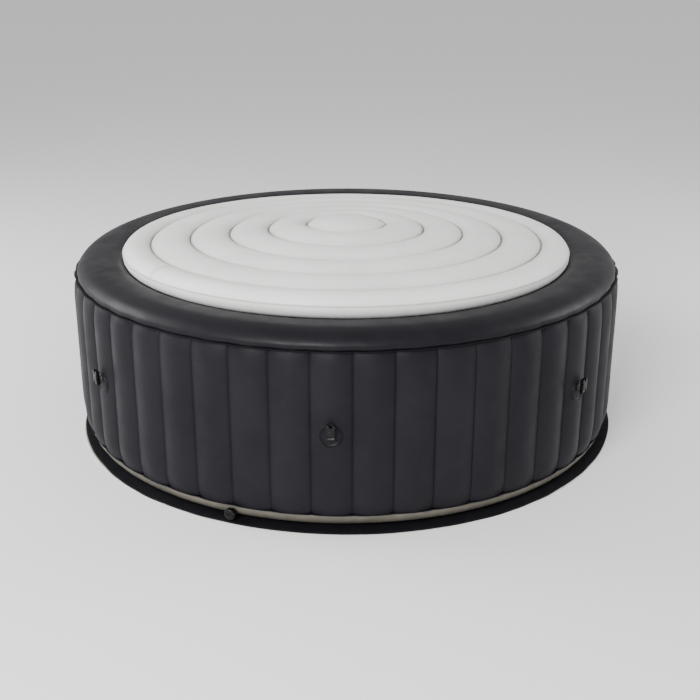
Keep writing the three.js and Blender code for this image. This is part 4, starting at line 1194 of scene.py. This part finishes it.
@dataclass
class Lid:
    """Air-filled ringed lid that rests on the rim with its front edge riding up."""

    shop: Workshop
    pitch: float = 145.4 * MM
    rings: int = 4
    centre: float = 741 * MM
    edge_groove: float = 689 * MM
    dome: float = 37 * MM
    swell: float = 25 * MM
    edge_width: float = 50 * MM
    edge_half: float = 43 * MM
    edge_height: float = 665 * MM
    radius: float = 830 * MM
    tilt_deg: float = 1.9
    forward: float = 20 * MM
    join_deg: float = -49.6

    def lay(self) -> Matrix:
        """How the level lid lies on the rim."""
        down = Matrix.Translation((0, 0, -self.edge_height))
        tip = spun(-self.tilt_deg, "X")
        return Matrix.Translation((0, -self.forward, self.edge_height)) @ tip @ down

    def groove(self, k: int) -> tuple[float, float]:
        """Radius and height of groove k, from 0."""
        drop = (self.centre - self.edge_groove) * (k / self.rings) ** 0.8
        return self.pitch * (k + 1), self.centre - drop

    def outline(self) -> list[tuple[float, float]]:
        """Level outline from the centre of the top round to the centre of the underside."""
        points = []
        for t in np.sin(np.linspace(0, math.pi / 2, 18)[:-1]):
            points.append((self.pitch * t, self.centre + self.dome * (1 - t**2.1) ** 0.62))
        for k in range(self.rings):
            (r0, z0), (r1, z1) = self.groove(k), self.groove(k + 1)
            for t in 0.5 - 0.5 * np.cos(np.linspace(0, math.pi, 25)[:-1]):
                bulge = self.swell * (1 - abs(2 * t - 1) ** 2.2) ** 0.55
                points.append((r0 + (r1 - r0) * t, z0 + (z1 - z0) * t + bulge))
        mid = self.radius - self.edge_width
        start, floor = self.groove(self.rings)
        top = self.edge_height + self.edge_half
        for t in 1 - np.cos(np.linspace(0, math.pi / 2, 12)[:-1]):
            rise = (top - floor) * (1 - (1 - t) ** 2.2) ** 0.6
            points.append((start + (mid - start) * t, floor + rise))
        for turn in np.linspace(90, -90, 40):
            weld = 2.4 * MM * math.exp(-(((turn - 12) / 1.8) ** 2))
            c, s = math.cos(math.radians(turn)), math.sin(math.radians(turn))
            points.append((mid + (self.edge_width + weld) * c, self.edge_height + (self.edge_half + weld) * s))
        for r in np.linspace(mid, 0, 14)[1:]:
            points.append((float(r), self.edge_height - self.edge_half + 3 * MM * math.sin(r * 22) ** 2))
        return points

    def build(self) -> None:
        """Build the film, pucker it, lay it down and give its valve the lid finish."""
        obj = revolve("lid_film", self.outline(), 512)
        # This crease weight drives painted shade round the grooves and darker weld lines in the lid colour.
        mark(obj, "crease", np.clip(self.creases(points_of(obj)), 0, 1))
        self.misshape(obj)
        self.shop.film.run(
            obj,
            Groove_Pitch=self.pitch,
            Gather_Length=16 * MM,
            Pucker=2.0 * MM,
            Edge_Radius=self.radius - 12 * MM,
            Edge_Pucker=2.2 * MM,
            Seed=2.0,
            Material=self.shop.materials[Slot.LID],
        )
        move(obj, self.lay())
        self.shop.fit(obj, Slot.LID, "lid", "lid")
        self.shop.dress(Slot.LID, "lid_valve_body", "lid_valve_cap")

    def creases(self, p: np.ndarray) -> np.ndarray:
        """How close points of the level lid lie to its ring welds, its edge weld and its one radial join."""
        radius, turn = polar(p)
        turn = np.degrees(turn)
        top = p[:, 2] > self.edge_height + 8 * MM
        rings = np.min([np.abs(radius - self.pitch * (k + 1)) for k in range(self.rings + 1)], axis=0)
        # The ring weight, narrow on each groove weld and wide round it, paints shade into the grooves.
        groove_shade_and_weld_lines = (0.75 * np.exp(-((rings / (4 * MM)) ** 2)) + 0.22 * np.exp(-((rings / (22 * MM)) ** 2))) * top
        weld = self.edge_height + self.edge_half * math.sin(math.radians(12))
        edge = np.exp(-(((p[:, 2] - weld) / (2 * MM)) ** 2)) * (radius > self.radius - 8 * MM)
        join = np.exp(-(((turn - self.join_deg) / 0.35) ** 2)) * (radius > self.pitch * 5) * (p[:, 2] > weld)
        # The edge weld and the join get a weaker darkening, as darker weld lines.
        return np.maximum(groove_shade_and_weld_lines, 0.7 * np.maximum(edge, join))

    def misshape(self, obj: bpy.types.Object) -> None:
        """Let the inner welds wander off round, the first one to a blunt point."""
        p = points_of(obj)
        radius, turn = polar(p)
        top = p[:, 2] > self.edge_height
        inner = np.exp(-(((radius - self.pitch) / (0.5 * self.pitch)) ** 2)) * top
        point = 0.05 * np.exp(-(((turn - 1.62) / 0.13) ** 2))
        drift = 0.012 * np.sin(3 * turn + 0.5) + 0.008 * np.sin(5 * turn + 2.0)
        p[:, :2] *= (1 + inner * (point + drift))[:, None]
        move_points(obj, p)


@dataclass
class Buckles:
    """Welded patch, webbing loop and upright female strap buckle, seven times round the wall."""

    shop: Workshop
    patch_radius: float = 38 * MM
    rib_half: float = 66.5 * MM
    rib_depth: float = 16 * MM
    bar_rise: float = 5 * MM
    bar_radius: float = 2 * MM
    strap_half: float = 10 * MM
    webbing: float = 1.3 * MM
    slit: float = 3.8 * MM

    def build(self) -> None:
        """Make one set at the front and carry it round."""
        low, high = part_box("buckle_4")
        patch_low, patch_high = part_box("buckle_patch_4")
        patch = self.patch(-patch_low.y, (patch_low.z + patch_high.z) / 2)
        strap = self.strap(patch_low.y, low, high)
        shell = self.shell(low, high)
        for i in range(BUCKLES):
            turn = spun((i - BUCKLES // 2) * BUCKLE_STEP_DEG, "Z")
            n = i + 1
            self.shop.fit(copy_of(patch, f"patch_disc_{n}", turn), Slot.RIM, "tub", f"buckle_patch_{n}")
            self.shop.fit(copy_of(strap, f"webbing_loop_{n}", turn), Slot.WEBBING, "tub", f"buckle_strap_{n}")
            self.shop.fit(copy_of(shell, f"buckle_shell_{n}", turn), Slot.ACETAL, f"buckle_{n}", f"buckle_{n}")
        for spare in (patch, strap, shell):
            bpy.data.objects.remove(spare)

    def patch(self, front: float, z: float) -> bpy.types.Object:
        """Disc with two raised weld beads, bent over the rib and sunk into it."""
        r = self.patch_radius
        sink = [(0, 5.6), (0.35, 5.2), (0.6, 4.9), (0.7, 2.6), (0.76, 1.9)]
        sink += [(0.82, 4.2), (0.88, 4.2), (0.93, 1.7), (0.985, 3.6)]
        face = spline([(r * share, front - drop * MM) for share, drop in sink] + [(r, front - 9 * MM)], 4)
        obj = outward("patch", face + [(r, front - 20 * MM), (0.0, front - 20 * MM)], 72, z, 0)
        p = points_of(obj)
        p[:, 1] += self.rib_depth * (p[:, 0] / self.rib_half) ** 2
        move_points(obj, p)
        return obj

    def strap(self, patch_front: float, low: Vector, high: Vector) -> bpy.types.Object:
        """Webbing sewn down behind the buckle, passed under its bar and back up to the seam."""
        bar_y, bar_z = (low.y + high.y) / 2, low.z + self.bar_rise
        root = patch_front + 3 * MM
        wrap = self.bar_radius + self.webbing
        loop = [(root, bar_z + 20 * MM), (root - 0.6 * MM, bar_z + 5 * MM), (root - 3 * MM, bar_z - 2.6 * MM)]
        turns = np.radians(np.linspace(-80, -280, 11))
        loop += [(bar_y + wrap * math.cos(t), bar_z + wrap * math.sin(t)) for t in turns]
        loop += [(root - 4.4 * MM, bar_z + 6.5 * MM), (root - 2 * self.webbing, bar_z + 19 * MM)]
        path = np.array(spline(loop, 3))
        along = np.gradient(path, axis=0)
        along /= np.linalg.norm(along, axis=1)[:, None]
        side = np.stack([-along[:, 1], along[:, 0]], 1) * self.webbing / 2
        ring = np.vstack([path + side, (path - side)[::-1]])
        points = np.array([(x, y, z) for x in (-self.strap_half, self.strap_half) for y, z in ring])
        n, m = len(ring), len(path)
        faces: list[Sequence[int]] = [(i, (i + 1) % n, n + (i + 1) % n, n + i) for i in range(n)]
        for i in range(m - 1):
            quad = (i, i + 1, n - 2 - i, n - 1 - i)
            faces.append(quad)
            faces.append(tuple(n + j for j in quad[::-1]))
        return solid("strap", points, faces)

    def shell(self, low: Vector, high: Vector) -> bpy.types.Object:
        """Waisted buckle body with its cross bar at the foot, side windows and a mouth at the top."""
        half = (high.x - low.x) / 2
        mm = {"low": low.z, "high": high.z}
        side = [(3, "low", 0), (0.8, "low", 0.8), (0, "low", 3.5), (0.4, "low", 8), (2, "low", 13), (2, "high", -15)]
        side += [(0.5, "high", -8), (0, "high", -4), (1, "high", -1), (3.4, "high", 0)]
        edge = [(half - inset * MM, mm[end] + rise * MM) for inset, end, rise in side]
        ring = edge + [(-x, z) for x, z in edge[::-1]]
        y0, y1 = low.y, high.y
        points = np.array([(x, y, z) for y in (y0, y1) for x, z in ring])
        n = len(ring)
        faces: list[Sequence[int]] = [tuple(range(n)), tuple(range(2 * n - 1, n - 1, -1))]
        faces += [(i, n + i, n + (i + 1) % n, (i + 1) % n) for i in range(n)]
        body = solid("shell", points, faces, smooth=False)
        bevel(body, 2.2 * MM, 4, 50)
        bar_y, bar_z, free = (y0 + y1) / 2, low.z + self.bar_rise, self.strap_half + 1 * MM
        slit = (bar_y - self.slit, bar_y + self.slit)
        cuts = (
            ((-free, y0 - 1 * MM, low.z - 5 * MM), (free, y1 + 1 * MM, bar_z + 7.6 * MM), 1 * MM),
            ((4 * MM - half, slit[0], high.z - 26 * MM), (half - 4 * MM, slit[1], high.z + 5 * MM), 1 * MM),
            ((-half - 5 * MM, slit[0], high.z - 22 * MM), (half + 5 * MM, slit[1], high.z - 11 * MM), 1.2 * MM),
            ((-5 * MM, y0 - 1 * MM, high.z - 9 * MM), (5 * MM, bar_y, high.z + 5 * MM), 2.5 * MM),
        )
        carve(body, *(rounded_box("cut", *cut) for cut in cuts))
        end = half - 1.5 * MM
        bar = revolve("bar", [(0, -end), (self.bar_radius, -end), (self.bar_radius, end), (0, end)], 20)
        move(bar, Matrix.Translation((0, bar_y, bar_z)) @ spun(90, "Y"))
        ribs = [
            rounded_box("rib", (-7 * MM, y0 - 0.5 * MM, z), (7 * MM, y0 + 2 * MM, z + 1.8 * MM), 0.5 * MM)
            for z in (low.z + 17 * MM, low.z + 21 * MM, low.z + 25 * MM)
        ]
        return smooth_shaded(merge("shell", [body, bar, *ribs]), 40)


@dataclass
class Valves:
    """Drain at the front foot of the tub and air valve at its rear side."""

    shop: Workshop
    drain_deg: float = DRAIN_DEG
    air_deg: float = AIR_VALVE_DEG

    def build(self) -> None:
        """Build the round moulded parts."""
        self.drain()
        self.air()
        self.shop.dress(Slot.ACETAL, "drain_socket", "drain_plug")

    def drain(self) -> None:
        """Fluted screw cap with a domed face."""
        low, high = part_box("drain_cap")
        z, r = (low.z + high.z) / 2, (high.z - low.z) / 2
        face, back = 1.024, 1.0065
        dome = [(0.0, 0.0), (0.55, 0.3), (0.82, 1.2), (0.97, 4), (1.0, 9)]
        outline = spline([(r * share, face - drop * MM) for share, drop in dome], 5)
        outline += [(r, back + 1 * MM), (r - 1 * MM, back), (0.0115, back), (0.0115, 0.997), (0.0, 0.997)]
        obj = outward("drain_cap_moulding", outline, 144, 0, 0)
        p = points_of(obj)
        radius, turn = np.hypot(p[:, 0], p[:, 2]), np.arctan2(p[:, 0], p[:, 2])
        flute = 1.3 * MM * np.clip(np.cos(12 * turn), 0, 1) ** 2 * (radius > r * 0.8)
        scale = 1 - flute / np.maximum(radius, 1e-6)
        p[:, 0] *= scale
        p[:, 2] *= scale
        move_points(obj, p)
        grip = rounded_box("grip", (-0.013, -face - 0.002, -0.0025), (0.013, -face + 0.003, 0.0025), 1 * MM)
        whole = smooth_shaded(merge("drain_cap_moulding", [obj, grip]), 40)
        move(whole, spun(self.drain_deg, "Z") @ Matrix.Translation((0, 0, z)))
        self.shop.fit(whole, Slot.ACETAL, "drain_cap", "drain_cap")

    def air(self) -> None:
        """Collar and quarter-turn cap of the inflation valve."""
        low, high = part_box("air_valve_body")
        z = (low.z + high.z) / 2
        face = max(math.hypot(v.co.x, v.co.y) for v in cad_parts["air_valve_cap"].data.vertices) - 2.8 * MM
        collar = [(17, -0.3), (23.5, 0), (26.2, -1.2), (27, -2.6), (27, -9), (21, -9), (21, -40), (17, -40)]
        body = outward("air_valve_collar", [(r * MM, face + out * MM) for r, out in collar], 96, z, self.air_deg)
        self.shop.fit(smooth_shaded(body, 40), Slot.ACETAL, "tub", "air_valve_body")
        cap = [(0, 2.8), (20, 2.7), (23.6, 2.1), (25, 1.3), (25, 0.4), (16.4, 0.4), (16.4, -24), (0, -24)]
        turned = outward("air_valve_cover", [(r * MM, face + out * MM) for r, out in cap], 96, z, 0)
        slot = rounded_box("slot", (-0.012, -face - 0.02, z - 0.002), (0.012, -face - 1.6 * MM, z + 0.002), 0.4 * MM)
        carve(turned, slot)
        smooth_shaded(turned, 35)
        move(turned, spun(self.air_deg, "Z"))
        self.shop.fit(turned, Slot.ACETAL, "air_cap", "air_valve_cap")


@dataclass
class ControlUnit:
    """Rear control unit: louvred cover, keypad, gland, and the pump, heater, blower and board behind it."""

    shop: Workshop
    screw_radius: float = 5 * MM
    louvres: int = 7
    louvre_pitch: float = 22 * MM
    louvre_height: float = 9 * MM

    def build(self) -> None:
        """Build the cover with its screws and dress the rest."""
        self.cover()
        self.shop.dress(Slot.WALL, "unit_pocket")
        self.shop.dress(Slot.UNIT, "unit_housing", "pump_casing", "blower_housing", "filter_housing", "return_nozzle")
        self.shop.dress(Slot.PANEL, "control_panel", "display_lens")
        self.shop.dress(Slot.BUTTON, "panel_button_1", "panel_button_2", "panel_button_3")
        self.shop.dress(Slot.ACETAL, "power_gland", "pump_impeller", "blower_fan")
        self.shop.dress(Slot.TUBE, "heater_tube")
        self.shop.dress(Slot.PAPER, "filter_cartridge")
        self.shop.dress(Slot.BOARD, "circuit_board")

    def cover(self) -> None:
        """Moulded cover with seven louvres, a recess for the keypad and a hole for the gland."""
        low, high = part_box("unit_cover")
        obj = rounded_box("unit_cover_moulding", low, high, 2.5 * MM)
        cutters = []
        for i in range(self.louvres):
            z = low.z + 60 * MM + i * self.louvre_pitch
            foot, top = (-0.12, low.y - 0.01, z), (0.12, high.y + 0.01, z + self.louvre_height)
            cutters.append(rounded_box(f"louvre_{i}", foot, top, 3 * MM))
        panel_low, panel_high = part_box("control_panel")
        cutters.append(
            rounded_box(
                "seat",
                (panel_low.x - 0.4 * MM, low.y - 0.01, panel_low.z - 0.4 * MM),
                (panel_high.x + 0.4 * MM, high.y + 0.01, panel_high.z + 0.4 * MM),
                0,
            )
        )
        gland_low, gland_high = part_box("power_gland")
        centre = ((gland_low.x + gland_high.x) / 2, (gland_low.z + gland_high.z) / 2)
        hole = revolve("gland_hole", [(0, -0.03), (0.0104, -0.03), (0.0104, 0.03), (0, 0.03)], 32)
        move(hole, Matrix.Translation((centre[0], high.y, centre[1])) @ spun(90, "X"))
        carve(obj, *cutters, hole)
        obj.data.set_sharp_from_angle(angle=math.radians(35))
        self.shop.fit(obj, Slot.UNIT, "tub", "unit_cover")
        self.screws(low, high)

    def screws(self, low: Vector, high: Vector) -> None:
        """Cross-recess pan screws near the corners and half-way up the cover."""
        r = self.screw_radius
        pan = [(0, 2.2), (0.6, 2), (0.92, 1.1), (1, 0.2), (1, -0.5), (0, -0.5)]
        head = revolve("screw", [(r * share, z * MM) for share, z in pan], 32)
        arms = [
            rounded_box("arm", (-0.6 * MM, -2.6 * MM, 0.9 * MM), (0.6 * MM, 2.6 * MM, 4 * MM), 0),
            rounded_box("arm", (-2.6 * MM, -0.6 * MM, 0.9 * MM), (2.6 * MM, 0.6 * MM, 4 * MM), 0),
        ]
        carve(head, *arms)
        head.data.set_sharp_from_angle(angle=math.radians(35))
        inset = 14 * MM
        heights = (low.z + inset, (low.z + high.z) / 2, high.z - inset)
        spots = [(x, z) for x in (low.x + inset, high.x - inset) for z in heights]
        for i, (x, z) in enumerate(spots):
            lay = Matrix.Translation((x, high.y + 0.1 * MM, z)) @ spun(-90, "X")
            self.shop.fit(copy_of(head, f"cover_screw_{i + 1}", lay), Slot.TUBE, "tub")
        bpy.data.objects.remove(head)


# ---- studio -----------------------------------------------------------------------------------


@dataclass(frozen=True)
class Lamp:
    """One square soft box, in metres and watts."""

    name: str
    place: tuple[float, float, float]
    target: tuple[float, float, float]
    size: float
    power: float

    def build(self) -> None:
        """Place the light and aim it at its target."""
        data = bpy.data.lights.new(self.name, "AREA")
        data.shape = "SQUARE"
        data.size = self.size
        data.energy = self.power
        obj = bpy.data.objects.new(self.name, data)
        obj.location = self.place
        obj.rotation_euler = (Vector(self.target) - Vector(self.place)).to_track_quat("-Z", "Y").to_euler()
        bpy.context.scene.collection.objects.link(obj)


@dataclass
class Studio:
    """Pale floor, soft boxes and the camera."""

    floor_half: float = 30.0
    surround: float = 0.72
    lamps: tuple[Lamp, ...] = (
        Lamp("left", (-4.6, 0.4, 2.2), (0, 0, 0.4), 2.4, 190),
        Lamp("right", (4.8, 0.6, 2.0), (0, 0, 0.4), 2.2, 120),
        Lamp("front", (-1.6, -5.2, 3.5), (0, 0, 0.6), 2.4, 420),
    )

    def build(self) -> None:
        """Set the camera first, then the floor and lights."""
        self.camera()
        self.floor()
        self.lights()

    def camera(self) -> None:
        """Camera a little to the right of the front, looking down at the tub."""
        data = bpy.data.cameras.new("camera")
        data.lens = LENS_MM
        data.sensor_width = 36.0
        data.shift_x = LENS_SHIFT
        obj = bpy.data.objects.new("camera", data)
        side = math.radians(VIEW_SIDE_DEG)
        obj.location = (EYE_DISTANCE * math.sin(side), -EYE_DISTANCE * math.cos(side), EYE_HEIGHT)
        obj.rotation_euler = (math.pi / 2 - EYE_PITCH, 0, side)
        bpy.context.scene.collection.objects.link(obj)
        bpy.context.scene.camera = obj

    def floor(self) -> None:
        """Plain pale floor."""
        size = self.floor_half
        points = np.array([(-size, -size, 0), (size, -size, 0), (size, size, 0), (-size, size, 0)], float)
        mesh = bpy.data.meshes.new("floor")
        mesh.from_pydata([tuple(p) for p in points], [], [(0, 1, 2, 3)])
        obj = bpy.data.objects.new("floor", mesh)
        bpy.context.scene.collection.objects.link(obj)
        s = Shader("studio_floor")
        s.feed(Base_Color=linear("#f4f4f4"), Roughness=0.9)
        obj.data.materials.append(s.done())

    def lights(self) -> None:
        """Side boxes for the walls, a high front box for the lid, and a dim even surround."""
        world = bpy.data.worlds.new("surround")
        bpy.context.scene.world = world
        world.use_nodes = True
        world.node_tree.nodes["Background"].inputs["Color"].default_value = (1.0, 1.0, 1.0, 1.0)
        world.node_tree.nodes["Background"].inputs["Strength"].default_value = self.surround
        for lamp in self.lamps:
            lamp.build()


def main() -> None:
    """Build the studio, then every sub-assembly."""
    logging.basicConfig(level=logging.INFO)
    Studio().build()
    shop = Workshop()
    for assembly in (AirWall(shop), Well(shop), Mat(shop), Lid(shop), Buckles(shop), Valves(shop), ControlUnit(shop)):
        assembly.build()
        log.info("%s is built", type(assembly).__name__)


if __name__ == "__main__":
    main()
